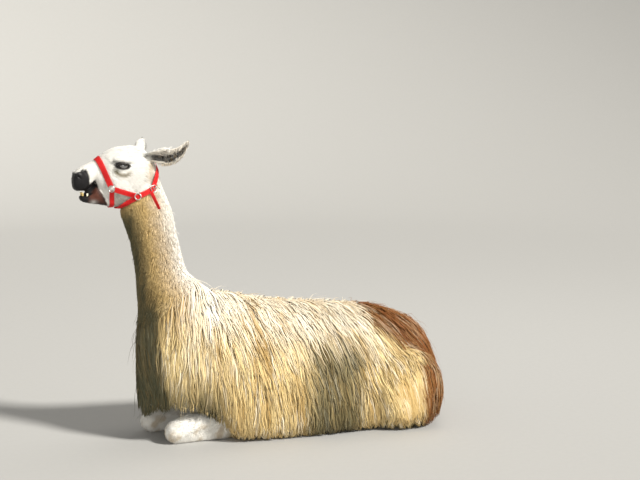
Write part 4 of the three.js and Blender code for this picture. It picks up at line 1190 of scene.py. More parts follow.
def grow_ears(bed):
    """Short fur on the backs of the ears, long streaks from root to tip inside them, and a fringe
    along their rims."""
    rng = np.random.default_rng(400)
    p = bed.skin.points
    lines = {side: np.array(EARS[side][0], float) * MM for side in (LEFT, RIGHT)}
    density = np.zeros(len(p))
    for side, line in lines.items():
        far, place = near_line(p, line)
        here = step(0.045, 0.035, far) * step(0.0, 0.06, place) * (p[:, 1] * side > 0.03)
        density = np.maximum(density, here)
    count = bed.sizes.ear_hairs
    roots, facing, marks = bed.skin.sow(density * (1 + 1.2 * bed.skin.marks["black"]), count, rng)
    want = np.empty_like(roots)
    for side, line in lines.items():
        mine = roots[:, 1] * side > 0
        last = len(line) - 1
        place = near_line(roots[mine], line)[1] * last
        want[mine] = unit(curve_through(line, np.clip(place + 0.1, 0, last))
                          - curve_through(line, place - 0.1))
    inside = marks["black"]
    length = bed.sizes.ear_length * (1 + inside) * rng.uniform(0.6, 1.2, count)
    lift = (0.0016 + 0.0012 * inside) * rng.uniform(0.3, 1.2, count)
    path, way, group = laid(bed, EAR_HABIT, roots, facing, want, length, lift, rng)
    streak = rng.uniform(size=count)
    marks["black"] = inside * (0.35 + 0.65 * step(0.04, 0.16, streak))
    marks["fawn"] = np.maximum(marks["fawn"], 0.6 * (inside > 0.2) * step(0.22, 0.10, streak))
    width = bed.sizes.ear_width * rng.uniform(*EAR_HABIT.widths, count)
    return coat_piece(bed, "ear_fur", EAR_HABIT, path, way, group, width, marks, rng)


def leg_heading(roots):
    """Forward along the forearm and down over the knee."""
    return np.stack((-np.ones(len(roots)), 0.3 * np.sign(np.abs(roots[:, 1]) - 0.1) * np.sign(roots[:, 1]),
                     -0.25 - 1.5 * step(0.06, 0.02, roots[:, 2])), -1)


def grow_legs(bed):
    """Short flat fur on the forelegs that show in front of the chest."""
    rng = np.random.default_rng(500)
    p = bed.skin.points
    count = bed.sizes.leg_hairs
    roots, facing, marks = bed.skin.sow(leg_share(p) * step(0.003, 0.010, p[:, 2]), count, rng)
    length = bed.sizes.leg_length * rng.uniform(0.6, 1.25, count)
    length = np.minimum(length, 0.006 + 0.6 * roots[:, 2])
    lift = 0.003 * rng.uniform(0.4, 1.3, count)
    path, way, group = laid(bed, LEG_HABIT, roots, facing, leg_heading(roots), length, lift, rng)
    width = bed.sizes.leg_width * rng.uniform(*LEG_HABIT.widths, count)
    return coat_piece(bed, "leg_fur", LEG_HABIT, path, way, group, width, marks, rng)


def tail_heading(roots):
    """Down the tail and a little to both sides."""
    return np.stack((0.35 + 0 * roots[:, 0], 2.0 * roots[:, 1], -np.ones(len(roots))), -1)


def grow_tail(bed):
    """Long coarse locks over the tail."""
    rng = np.random.default_rng(600)
    count = bed.sizes.tail_locks
    roots, facing, marks = bed.skin.sow(tail_share(bed.skin.points), count, rng)
    length = bed.sizes.tail_length * rng.uniform(0.6, 1.15, count)
    length = np.minimum(length, 0.02 + np.maximum(roots[:, 2] - 0.03, 0))
    lift = 0.022 * rng.uniform(0.3, 1.0, count)
    path, way, group = laid(bed, TAIL_HABIT, roots, facing, tail_heading(roots), length, lift, rng)
    width = bed.sizes.flank_width * 0.85 * rng.uniform(*TAIL_HABIT.widths, count)
    return coat_piece(bed, "tail_locks", TAIL_HABIT, path, way, group, width, marks, rng)


STRAY_WIDTH = 0.0016


def grow_flyaways(bed):
    """A few thin hairs that stand away from the fleece along back, chest, neck and nape."""
    rng = np.random.default_rng(700)
    p, n = bed.skin.points, bed.skin.normals
    density = (0.3 + step(0.3, 0.9, n[:, 2])) * step(0.08, 0.14, p[:, 2]) * (1 - bed.skin.marks["black"])
    density = density * step(-0.05, -0.09, throat_line(p)) * step(1.0, 0.94, p[:, 2])
    count = bed.sizes.flyaways
    roots, facing, marks = bed.skin.sow(density, count, rng)
    neck = step(0.0, 0.05, shoulder_line(roots))
    length = (0.13 - 0.095 * neck) * rng.uniform(0.6, 1.2, count)
    length = np.minimum(length, 0.03 + roots[:, 2] * 0.8)
    lift = (0.034 - 0.008 * neck) * rng.uniform(0.6, 1.25, count)
    want = (flank_heading(roots) * (1 - neck)[:, None] + neck_heading(roots) * neck[:, None]
            + rng.normal(0, 0.35, (count, 3)))
    path, way, group = laid(bed, STRAY_HABIT, roots, facing, want, length, lift, rng)
    width = STRAY_WIDTH * rng.uniform(*STRAY_HABIT.widths, count)
    marks["white"] = np.maximum(marks["white"], 0.4)
    return coat_piece(bed, "flyaway_hairs", STRAY_HABIT, path, way, group, width, marks, rng)


# ---------------- eyes, teeth and claws
def eye_rings(side):
    """A ball with a low dome for the cornea: its radius grows by a bell of the angle from the pupil."""
    centre = np.array(EYE_CENTRE, float) * (1, side, 1)
    angle = np.linspace(0.02, np.pi - 0.02, 40)[:, None]
    turn = turns(64)[None, :]
    radius = EYE_RADIUS + 1.3 * np.exp(-(angle / 0.55) ** 2)
    out = side * radius * np.cos(angle) + 0 * turn
    return (centre + np.stack((radius * np.sin(angle) * np.cos(turn), out,
                               radius * np.sin(angle) * np.sin(turn)), -1)) * MM


LID_REACH, LID_RISE, LID_BOW, LID_THICKNESS = 23.0, 8.5, 12.0, 1.7  # half length, rise, fall, radius


def lid_line(side, count):
    """The edge of the lids: flat above and bowed below, wrapped over a ball just larger than the eye.
    With it goes the sine of the turn, which is above nought on the upper lid."""
    turn = turns(count)
    x, s = LID_REACH * np.cos(turn), np.sin(turn)
    z = np.where(s > 0, LID_RISE * np.abs(s) ** 0.8 * (1 - 0.12 * np.cos(turn)), -LID_BOW * np.abs(s) ** 0.9)
    z = z - 0.06 * x + 1.0
    over = (EYE_RADIUS + 1.2) ** 2 - (x * 0.82) ** 2 - z ** 2
    y = np.sqrt(np.maximum(over, 60.0))
    return (np.array(EYE_CENTRE, float) * (1, side, 1) + np.stack((x, side * y, z), -1)) * MM, s


LASH_WIDTH, LASH_THICKNESS = 0.0011, 0.0007


def lashes(side, rng, above_count=90, below_count=24):
    """Long curved lashes that leave the upper lid outwards and droop, and short ones below: each is
    a straight line plus a bend that grows as the square of the share along it."""
    line, s = lid_line(side, 240)
    chosen = np.concatenate((rng.choice(np.flatnonzero(s > 0.12), above_count),
                             rng.choice(np.flatnonzero(s < -0.35), below_count)))
    above, root, count = s[chosen] > 0, line[chosen], len(chosen)
    length = np.where(above, rng.uniform(0.012, 0.021, count), rng.uniform(0.004, 0.008, count))
    t = np.linspace(0, 1, 7)[None, :, None]
    lean = (root[:, 0] - EYE_CENTRE[0] * MM) * 14 + rng.normal(0, 0.12, count) - 0.15
    start = np.stack((lean, side * np.ones(count), np.where(above, 0.15, -0.6)), -1)
    bend = np.stack((lean * 0.5, 0 * lean, np.where(above, -0.95, 0.1)), -1)
    run = t * unit(start)[:, None, :] + 0.55 * t ** 2 * bend[:, None, :]
    path = root[:, None, :] + length[:, None, None] * run
    way = np.broadcast_to(np.array((0.0, side, 0.6)), path.shape)
    return lock_arrays(path, way, np.full(count, LASH_WIDTH), np.full(count, LASH_THICKNESS))


def tooth_rings(place, turn, lean, width, height):
    """A chisel-shaped tooth: flattened rings that widen, thin and lean forward towards the edge."""
    t = np.linspace(0, 1, 9)[:, None]
    angle = turns(20)[None, :]
    wide = width / 2 * (0.72 + 0.36 * t - 0.16 * t ** 6)
    thin = 2.3 * (1 - 0.55 * t)
    out = thin * np.sign(np.cos(angle)) * np.abs(np.cos(angle)) ** 0.8 + lean * t ** 1.3
    across = wide * np.sign(np.sin(angle)) * np.abs(np.sin(angle)) ** 0.7
    c, s = math.cos(turn), math.sin(turn)
    return np.stack((place[0] - c * out - s * across, place[1] + s * out + c * across,
                     place[2] + height * t + 0 * angle), -1) * MM


def incisor_rings(number, fan=0.36):
    """One of the incisors, which stand in an arc: numbers run from the row's middle to both sides."""
    turn = number * fan
    place = (-940 - 14 * math.cos(turn), 15 * math.sin(turn), 997)
    return tooth_rings(place, turn, 3.4 - 0.4 * abs(number), 6.2, 18.5)


def canine_rings(side):
    """A broad low tooth behind the incisors."""
    return tooth_rings((-933, side * 18, 998), side * 1.1, 1.0, 9.0, 14.0)


FORE_TOE, HIND_TOE, TOE_SPREAD = -304, 68, 13


def claw_rings(tip_x, y, ahead):
    """A blunt curved claw: circles that shrink along a path bending down to the ground."""
    t = np.linspace(0, 1, 14)
    path = np.stack((tip_x - ahead * (6 - 24 * t), y + 0 * t, 22 - 2 * t - 12 * t ** 2), -1) * MM
    radii = (8.2 * (1 - t ** 2.2) + 1.0) * MM
    return tube(path, radii, 18, np.array((0.0, 0.0, 1.0)), 0.85)


# ---------------- halter
NOSE_WIDTH, CHEEK_WIDTH, THROAT_WIDTH, CHIN_WIDTH, LOOSE_WIDTH = 23, 21, 20, 19, 14
WEBBING_THICKNESS = 2.4
FRONT_RING = (-845, 1031)
REAR_RING = (-743, 997)
BUCKLE = (-682, 1026)
NOSEBAND_TOP = (-892, 1151)
CHIN = (-840, 950)
THROAT = (-826, 942)
NAPE = (-657, 1104)
LOOSE_END = ((-694, 1016), (-661, 946))


def fur_under(points):
    """The depth of fur that a strap presses down to: a few millimetres on the face, more over the wool of
    nape and throat."""
    nape = step(-0.735, -0.675, points[:, 0])
    throat = step(0.985, 0.955, points[:, 2]) * step(-0.83, -0.79, points[:, 0])
    return (3.2 + 4.2 * np.maximum(nape, throat))[:, None] * MM


def laid_path(finder, start, end, side=0, count=90, reach=0.0):
    """A line on the skin under a strap. With a side it runs between two places on that side; without
    one it starts at the left, passes over or under the midline at end, and comes back at the right.
    It settles by turns on the skin and in the strap's own plane, and is spaced evenly."""
    start, end = np.array(start, float) * MM, np.array(end, float) * MM
    line = end - start
    normal = unit(np.array((-line[1], 0.0, line[0])))
    t = np.linspace(0, 1, count)
    if side:
        u = t * (1 + 2 * reach) - reach
        guess = np.stack((start[0] + line[0] * u, side * 0.09 + 0 * u, start[1] + line[1] * u), -1)
    else:
        turn = np.pi * t
        u = np.sin(turn)
        guess = np.stack((start[0] + line[0] * u, -0.075 * np.cos(turn), start[1] + line[1] * u), -1)
    anchor = np.array((start[0], 0.0, start[1]))
    first = guess.copy()
    for _ in range(14):
        near, face = nearest(finder, guess)
        guess = near + face * fur_under(near)
        guess = guess - normal * ((guess - anchor) @ normal)[:, None]
        if side:
            guess[:, [0, 2]] = first[:, [0, 2]]
        else:
            guess[0, [0, 2]], guess[-1, [0, 2]] = start, start
            guess[1:-1] = (guess[:-2] + 2 * guess[1:-1] + guess[2:]) / 4
            run = np.append(0, np.cumsum(np.linalg.norm(np.diff(guess, axis=0), axis=1)))
            even = np.linspace(0, run[-1], count)
            guess = np.stack([np.interp(even, run, guess[:, k]) for k in range(3)], -1)
    return guess, nearest(finder, guess)[1]


def short_of(start, end, gap=9.0):
    """A place a little way from start towards end, where a strap turns back round its ring."""
    start, end = np.array(start, float), np.array(end, float)
    return tuple(start + (end - start) * gap / np.linalg.norm(end - start))


def webbing(path, face, width, lift=0.0):
    """A strap with rounded edges carried along a path that lies on the skin, and its map: across the
    strap in the first figure and along it in metres in the second."""
    _, across, out = path_frames(path, face)
    half, thick = width / 2 * MM, WEBBING_THICKNESS * MM
    edge = np.array((0.0, 0.5, 0.87, 1.0, 0.87, 0.5, 0.0))
    rise = np.array((0.0, 0.07, 0.25, 0.5, 0.75, 0.93, 1.0))
    u = np.concatenate((half - thick / 2 + thick / 2 * edge, -(half - thick / 2) - thick / 2 * edge[::-1]))
    v = np.concatenate((rise, rise[::-1])) * thick + lift * MM
    rings = path[:, None, :] + across[:, None, :] * u[None, :, None] + out[:, None, :] * v[None, :, None]
    run = np.append(0, np.cumsum(np.linalg.norm(np.diff(path, axis=0), axis=1)))
    flat = np.stack(np.broadcast_arrays((u / (2 * half) + 0.5)[None, :], run[:, None]), -1)
    vertices, faces = capped(rings)
    ends = np.array(((0.5, run[0]), (0.5, run[-1])))
    return vertices, faces, np.concatenate((flat.reshape(-1, 2), ends))


def strap_piece(name, ribbons, material, node):
    """One strap of one or more ribbons, standing for a solid."""
    vertices, faces = merged([ribbon[:2] for ribbon in ribbons])
    piece = new_piece(name, vertices, faces, material)
    store_uv(piece.data, "webbing", np.concatenate([ribbon[2] for ribbon in ribbons]), faces)
    return fitted(piece, "red_webbing", node)


def on_halter(finder, place, side, outline):
    """Lays a flat outline of (x, z, out) figures in millimetres on the webbing at a place."""
    spot = np.array(((place[0] * MM, side * 0.12, place[1] * MM),))
    for _ in range(6):
        near, face = nearest(finder, spot)
        spot = near + face * fur_under(near)
        spot[:, [0, 2]] = np.array(place) * MM
    out = face[0]
    x_way = unit(np.array((1.0, 0.0, 0.0)) - out * out[0])
    z_way = np.cross(out, x_way) * -side
    return spot[0] + (outline[:, :1] * x_way + outline[:, 1:2] * z_way + outline[:, 2:] * out) * MM, out


RING_RADIUS, RING_WIRE = 12.0, 2.1
BUCKLE_REACH = (12.0, 13.0)  # half length and half width of the buckle's frame


def ring_piece(finder, name, place, side, material):
    """A welded steel ring lying on the straps it joins."""
    turn = turns(72)
    outline = np.stack((RING_RADIUS * np.cos(turn), RING_RADIUS * np.sin(turn), 3.6 + 0 * turn), -1)
    path, out = on_halter(finder, place, side, outline)
    return fitted(new_piece(name, *hoop(path, RING_WIRE * MM, 14, out), material), "halter_steel", name)


def buckle_piece(finder, material):
    """A rounded rectangular frame, a super-ellipse of power 0.45, with a bar down its middle and a
    tongue that bows over it as half a sine."""
    slope = math.atan2(BUCKLE[1] - REAR_RING[1], BUCKLE[0] - REAR_RING[0])
    turn = turns(96)
    long, wide = BUCKLE_REACH
    c, s = np.cos(turn), np.sin(turn)
    outer = np.stack((long * np.sign(c) * np.abs(c) ** 0.45, wide * np.sign(s) * np.abs(s) ** 0.45,
                      3.8 + 0 * turn), -1)
    bar = np.stack((np.zeros(9), np.linspace(-wide, wide, 9), np.full(9, 3.8)), -1)
    bow = 4.6 + 2.6 * np.sin(np.linspace(0, np.pi, 12))
    tongue = np.stack((np.linspace(0, 14.5, 12), np.zeros(12), bow), -1)
    parts = []
    c, s = math.cos(slope), math.sin(slope)
    for outline, wire in ((outer, 1.7), (bar, 1.4), (tongue, 1.2)):
        turned = np.stack((outline[:, 0] * c - outline[:, 1] * s, outline[:, 0] * s + outline[:, 1] * c,
                           outline[:, 2]), -1)
        path, out = on_halter(finder, BUCKLE, LEFT, turned)
        parts.append(hoop(path, wire * MM, 12, out) if outline is outer
                     else capped(tube(path, wire * MM, 12, out)))
    return fitted(new_piece("buckle_frame", *merged(parts), material), "halter_steel", "buckle")


# ---------------- materials
class Finish:
    """A material with one shader, whose plain values are set on its own sockets, and short ways to add
    the nodes that feed it. Each way gives back a node's output."""

    def __init__(self, name, **values):
        self.material = bpy.data.materials.new(name)
        self.material.use_nodes = True
        self.tree = self.material.node_tree
        self.shader = self.tree.nodes["Principled BSDF"]
        feed(self.tree, self.shader, {socket.replace("_", " "): value for socket, value in values.items()})

    def node(self, kind, inputs, **settings):
        """Adds a shader node of any kind."""
        return add_node(self.tree, "ShaderNode" + kind, inputs, **settings)

    def place(self):
        """The Object coordinates, which here are metres from the floor under the belly."""
        return self.node("TexCoord", {})["Object"]

    def share(self, name):
        """An attribute's figure at each point."""
        return self.node("Attribute", {}, attribute_name=name)["Fac"]

    def scaled(self, vector, scale):
        """A vector stretched along its axes."""
        return self.node("Mapping", {"Vector": vector, "Scale": scale})[0]

    def sum(self, operation, *figures):
        """One sum of one or two figures."""
        return self.node("Math", dict(enumerate(figures)), operation=operation)[0]

    def size(self, vector):
        """A vector's length."""
        return self.node("VectorMath", {0: vector}, operation="LENGTH")["Value"]

    def ranged(self, value, low, high, new_low=0.0, new_high=1.0):
        """A figure carried from one range to another and held inside it."""
        return self.node("MapRange", {0: value, 1: low, 2: high, 3: new_low, 4: new_high})[0]

    def cloud(self, vector, scale, detail=3.0):
        """A soft noise of the given scale over a vector."""
        return self.node("TexNoise", {"Vector": vector, "Scale": scale, "Detail": detail})[0]

    def mixed(self, share, first, second, blend="MIX"):
        """A colour between two others by a share from 0 to 1."""
        first, second = (value if isinstance(value, bpy.types.NodeSocket) else (*value, 1)
                         for value in (first, second))
        return self.node("Mix", {0: share, 6: first, 7: second}, data_type="RGBA", blend_type=blend)[2]

    def marked(self, tones):
        """The coat's colour at a point: cream, then each marking laid over it by its share."""
        colour = tones.cream
        for name in ("white", "fawn", "grey", "russet", "lip", "black"):
            colour = self.mixed(self.share(name), colour, getattr(tones, name))
        return colour

    def done(self, colour, bump=None, **values):
        """Joins the colour and a bump of given height, strength and depth to the shader."""
        if bump:
            values["Normal"] = self.node("Bump", dict(zip(("Height", "Strength", "Distance"), bump)))[0]
        feed(self.tree, self.shader, {"Base Color": colour, **values})
        return self.material


def skin_material(tones):
    """Skin under the coat, with the coat's markings, a close nap, and a finely creased nose."""
    finish = Finish("marked skin", Specular_IOR_Level=0.3)
    place, dark = finish.place(), finish.share("black")
    nap = finish.cloud(finish.scaled(place, (0.35, 1.0, 1.0)), 1500.0, 2.0)
    blotch = finish.ranged(finish.cloud(place, 90.0), 0.45, 0.75, 0.0, 0.12)
    creases = finish.node("TexVoronoi", {"Vector": place, "Scale": 620.0})[0]
    colour = finish.mixed(finish.ranged(nap, 0.3, 0.7, 0.0, 0.18), finish.marked(tones), (0, 0, 0),
                          "MULTIPLY")
    colour = finish.mixed(blotch, colour, tones.fawn, "MULTIPLY")
    return finish.done(colour, (finish.sum("ADD", nap, creases), 0.22, 0.0006),
                       Roughness=finish.ranged(dark, 0.0, 1.0, 0.75, 0.50))


# The warmth of the roots is partly painted shade among the hairs and partly dirt.
FLEECE = ("long fleece", 0.82, 1.18, 0.5)  # name, darkest and lightest hair, warmth of roots and dark hairs
FUR = ("short fur", 0.93, 1.06, 0.10)


def hair_material(tones, name, darkest, lightest, warmth):
    """Hair with the coat's markings: each hair has its own tone, is darker at its root, partly as painted
    shade among the hairs and partly as dirt, and carries fine streaks along its length as colour and bump."""
    finish = Finish(name, Roughness=0.6, Sheen_Weight=0.05, Sheen_Roughness=0.4, Specular_IOR_Level=0.22)
    tone, along, pale = (finish.share(name) for name in ("tone", "along", "white"))
    strand = finish.node("UVMap", {}, uv_map="strand")[0]
    streak = finish.cloud(finish.scaled(strand, (4.5, 0.5, 1.0)), 1.0)
    light = finish.sum("MULTIPLY", finish.ranged(tone, 0.0, 1.0, darkest, lightest),
                       finish.ranged(streak, 0.3, 0.7, 0.82, 1.10))
    # Painted shade with some dirt: roots darkened towards fawn, less on white hair.
    root = finish.sum("MULTIPLY", finish.ranged(along, 0.0, 0.4, warmth, 0.0),
                      finish.ranged(pale, 0.0, 1.0, 1.0, 0.3))
    colour = finish.mixed(root, finish.marked(tones), tones.fawn, "MULTIPLY")
    colour = finish.mixed(finish.ranged(tone, 0.15, 0.45, 0.5 * warmth, 0.0), colour, tones.fawn)
    colour = finish.node("VectorMath", {0: colour, "Scale": light}, operation="SCALE")[0]
    return finish.done(colour, (streak, 0.35, 0.0008))


def eye_material(tones):
    """A wet dark eye: a brown ring flecked from its middle, and a pupil wider than it is high."""
    finish = Finish("dark eye", Roughness=0.12, Coat_Weight=1.0, Coat_Roughness=0.02, Coat_IOR=2.8, IOR=1.8)
    middle = (-EYE_CENTRE[0] * MM, 0.0, -EYE_CENTRE[2] * MM)
    moved = finish.node("Mapping", {"Vector": finish.place(), "Location": middle})[0]
    parts = finish.node("SeparateXYZ", {0: moved})
    flat = finish.node("CombineXYZ", {0: parts[0], 2: parts[2]})[0]
    flecks = finish.ranged(finish.cloud(flat, 700.0, 4.0), 0.35, 0.65)
    iris = finish.mixed(flecks, tones.iris, [0.35 * part for part in tones.iris])
    rim = finish.mixed(finish.ranged(finish.size(flat), 0.0135, 0.0165), iris, (0.012, 0.008, 0.007))
    pupil = finish.ranged(finish.size(finish.scaled(flat, (0.6, 1.0, 1.25))), 0.0052, 0.0062, 1.0, 0.0)
    return finish.done(finish.mixed(pupil, rim, (0.003, 0.003, 0.004)))


def plain_material(name, first, second, scale, rough, bump, stretch=(1.0, 1.0, 1.0), **values):
    """A finish that clouds between two colours, with the same cloud in its roughness and as a bump of
    given strength and depth."""
    finish = Finish(name, **values)
    cloud = finish.cloud(finish.scaled(finish.place(), stretch), scale, 4.0)
    colour = finish.mixed(finish.ranged(cloud, 0.3, 0.7), first, second)
    return finish.done(colour, (cloud, *bump), Roughness=finish.ranged(cloud, 0.3, 0.7, *rough))


RIB_STEP, STITCH_STEP = 0.0016, 0.0045  # metres along a strap
CORDS, STITCH_ROW = 11, 0.36            # cords across a strap, and the stitches' place from its middle
WORN_RED, THREAD_RED = (0.75, 0.16, 0.13), (0.80, 0.20, 0.17)


def webbing_material(tones):
    """Woven nylon: a sine of ribs along the strap times a cosine of cords across it, and a row of
    stitches inside each edge."""
    finish = Finish("red webbing", Specular_IOR_Level=0.25, Roughness=0.55)
    parts = finish.node("SeparateXYZ", {0: finish.node("UVMap", {}, uv_map="webbing")[0]})

    def wave(kind, part, waves):
        return finish.sum(kind, finish.sum("MULTIPLY", parts[part], 2 * math.pi * waves))

    weave = finish.sum("MULTIPLY", wave("SINE", 1, 1 / RIB_STEP), wave("COSINE", 0, CORDS))
    aside = finish.sum("ABSOLUTE", finish.sum("SUBTRACT", parts[0], 0.5))
    off_row = finish.sum("ABSOLUTE", finish.sum("SUBTRACT", aside, STITCH_ROW))
    stitch = finish.sum("MULTIPLY", finish.ranged(off_row, 0.015, 0.035, 1.0, 0.0),
                        finish.ranged(wave("SINE", 1, 1 / STITCH_STEP), -0.3, 0.1))
    dark = [0.45 * part for part in tones.webbing]
    colour = finish.mixed(finish.ranged(weave, -1.0, 1.0, 0.0, 0.35), tones.webbing, dark)
    worn = finish.ranged(finish.cloud(finish.place(), 160.0), 0.5, 0.8, 0.0, 0.14)
    colour = finish.mixed(worn, colour, WORN_RED)
    colour = finish.mixed(finish.ranged(stitch, 0.0, 1.0, 0.0, 0.7), colour, THREAD_RED)
    return finish.done(colour, (finish.sum("ADD", weave, stitch), 0.5, 0.0004))


# ---------------- what a user may change
def length_property(name, description, default):
    """A length in metres."""
    return FloatProperty(name=name, description=description, default=default, min=0.0002, unit="LENGTH")


def number_property(name, description, default):
    """How many of something."""
    return IntProperty(name=name, description=description, default=default, min=10)


def colour_property(name, description, default):
    """A colour."""
    return FloatVectorProperty(name=name, description=description, default=default, subtype="COLOR", size=3,
                               min=0.0, max=1.0)


class LlamaSizes(bpy.types.PropertyGroup):
    """Lengths of the coat and numbers of hairs."""
    skin_cell: length_property("Skin cell", "Cell of the surface that joins the body forms", 0.0108)
    flank_locks: number_property("Flank locks", "Locks on each quarter of the fleece", 4400)
    flank_length: length_property("Flank length", "Length of the fleece on the sides", 0.185)
    flank_lift: length_property("Flank lift", "How far the longest locks stand off the skin", 0.034)
    flank_width: length_property("Flank lock width", "Width of one lock of the fleece", 0.0064)
    neck_hairs: number_property("Neck hairs", "Tufts on each side of the neck", 11500)
    neck_length: length_property("Neck length", "Length of the neck's wool", 0.030)
    neck_lift: length_property("Neck lift", "How far the neck's wool stands off the skin", 0.013)
    neck_width: length_property("Neck tuft width", "Width of one tuft on the neck", 0.0027)
    face_hairs: number_property("Face hairs", "Tufts on the head", 9500)
    face_length: length_property("Face length", "Length of the fur on the face", 0.0095)
    face_width: length_property("Face tuft width", "Width of one tuft on the face", 0.0016)
    ear_hairs: number_property("Ear hairs", "Hairs on both ears", 4200)
    ear_length: length_property("Ear length", "Length of the fur on the ears", 0.012)
    ear_width: length_property("Ear hair width", "Width of one hair on the ears", 0.0014)
    leg_hairs: number_property("Leg hairs", "Tufts on both forelegs", 4400)
    leg_length: length_property("Leg length", "Length of the fur on the forelegs", 0.013)
    leg_width: length_property("Leg tuft width", "Width of one tuft on the forelegs", 0.0022)
    tail_locks: number_property("Tail locks", "Locks on the tail", 1300)
    tail_length: length_property("Tail length", "Length of the tail's locks", 0.11)
    flyaways: number_property("Flyaway hairs", "Hairs that stand away from the coat", 700)


class LlamaTones(bpy.types.PropertyGroup):
    """Colours of coat, skin and halter."""
    cream: colour_property("Cream", "Main colour of the fleece", (0.87, 0.68, 0.34))
    white: colour_property("White", "Head, nape and knees", (0.97, 0.96, 0.92))
    fawn: colour_property("Fawn", "Neck and streaks in the fleece", (0.57, 0.365, 0.125))
    russet: colour_property("Russet", "Rump and tail", (0.19, 0.062, 0.011))
    # Dusk is the colour of painted shade on throat, chest and under the fleece, of the painted cast shadow on
    # the flank, and of grey stains on face and knees.
    grey: colour_property("Dusk", "Dusty wool on chest, throat and flank", (0.095, 0.094, 0.052))
    lip: colour_property("Lip", "Lower lip and inside of the mouth", (0.13, 0.046, 0.029))
    black: colour_property("Black", "Nose, eye rims and inner ears", (0.010, 0.009, 0.010))
    iris: colour_property("Iris", "Eyes", (0.05, 0.022, 0.010))
    webbing: colour_property("Webbing", "Halter straps", (0.72, 0.012, 0.014))


def settings():
    """The scene's sizes and tones."""
    return bpy.context.scene.llama_sizes, bpy.context.scene.llama_tones


def skin_and_finder():
    """The skin's arrays, and the finder, made the first time it is asked for."""
    skin = Skin()
    finder = bpy.data.objects.get("finder")
    if finder is None:
        layer = skin.piece.data.attributes.new("facing", "FLOAT_VECTOR", "POINT")
        layer.data.foreach_set("vector", eased_normals(skin.normals, skin.faces).astype(np.float32).ravel())
        finder = make_finder(skin.piece)
    return skin, finder


def grown(kind, calls):
    """Runs growers with one kind of hair, which is made the first time it is asked for. Each call names
    a grower and, where it needs them, the side and the half."""
    sizes, tones = settings()
    bed = Bed(*skin_and_finder(), sizes, bpy.data.materials.get(kind[0]) or hair_material(tones, *kind))
    for grow, *which in calls:
        grow(bed, *which)
    return {"FINISHED"}


# ---------------- operators
class LLAMA_OT_skin(bpy.types.Operator):
    """Makes the one skin that stands for all the flesh"""
    bl_idname = "llama.skin"
    bl_label = "Skin"

    def execute(self, context):
        sizes, tones = settings()
        skin = make_skin(sizes.skin_cell)
        skin.data.materials.append(skin_material(tones))
        fitted(skin, "white_fur", *FLESH)
        return {"FINISHED"}


class LLAMA_OT_fleece(bpy.types.Operator):
    """Grows the long fleece of the trunk in four quarters"""
    bl_idname = "llama.fleece"
    bl_label = "Long fleece"

    def execute(self, context):
        return grown(FLEECE, [(grow_flank, side, rear) for side in (LEFT, RIGHT) for rear in (0, 1)])


class LLAMA_OT_neck_wool(bpy.types.Operator):
    """Grows the crimped wool of the neck"""
    bl_idname = "llama.neck_wool"
    bl_label = "Neck wool"

    def execute(self, context):
        return grown(FLEECE, [(grow_neck, side) for side in (LEFT, RIGHT)])


class LLAMA_OT_short_fur(bpy.types.Operator):
    """Grows the short fur of head, ears and forelegs"""
    bl_idname = "llama.short_fur"
    bl_label = "Short fur"

    def execute(self, context):
        return grown(FUR, [(grow_face,), (grow_ears,), (grow_legs,)])


class LLAMA_OT_tail_locks(bpy.types.Operator):
    """Grows the tail's locks and the coat's stray hairs"""
    bl_idname = "llama.tail_locks"
    bl_label = "Tail and stray hairs"

    def execute(self, context):
        return grown(FLEECE, [(grow_tail,), (grow_flyaways,)])


class LLAMA_OT_eyes(bpy.types.Operator):
    """Sets in the eyes with their lids and lashes"""
    bl_idname = "llama.eyes"
    bl_label = "Eyes"

    def execute(self, context):
        tones = settings()[1]
        wet = eye_material(tones)
        lid = plain_material("eyelid skin", tones.black, (0.05, 0.04, 0.038), 900.0, (0.45, 0.6),
                             (0.4, 0.0004))
        lash = plain_material("lash", tones.black, (0.03, 0.022, 0.018), 300.0, (0.4, 0.5), (0.1, 0.0002))
        rng = np.random.default_rng(800)
        for side, name in SIDE_NAMES.items():
            fitted(new_piece("eyeball_" + name, *joined([eye_rings(side)]), wet), "eyeball", "eye_" + name)
            line, height = lid_line(side, 96)
            thick = (LID_THICKNESS + np.clip(height, 0, 1)) * MM
            lids = hoop(line, thick, 12, np.array((0.0, side, 0.0)))
            fitted(new_piece("eyelids_" + name, *lids, lid), "dark_lip_skin")
            fitted(new_piece("eyelashes_" + name, *lashes(side, rng), lash), "dark_lip_skin")
        return {"FINISHED"}


class LLAMA_OT_teeth(bpy.types.Operator):
    """Sets the six lower incisors in their arc"""
    bl_idname = "llama.teeth"
    bl_label = "Incisors"

    def execute(self, context):
        for name, tubes, colours, stands_for in (
                ("lower_incisors", [incisor_rings(place) for place in np.arange(6) - 2.5],
                 ("tooth enamel", (0.90, 0.74, 0.36), (0.72, 0.48, 0.15)), ["incisors"]),
                ("lower_canines", [canine_rings(side) for side in (LEFT, RIGHT)],
                 ("pale enamel", (0.86, 0.83, 0.70), (0.80, 0.72, 0.50)), [])):
            enamel = plain_material(*colours, 170.0, (0.25, 0.4), (0.2, 0.0003), Coat_Weight=0.4)
            fitted(new_piece(name, *joined(tubes), enamel), "tooth_enamel", *stands_for)
        return {"FINISHED"}


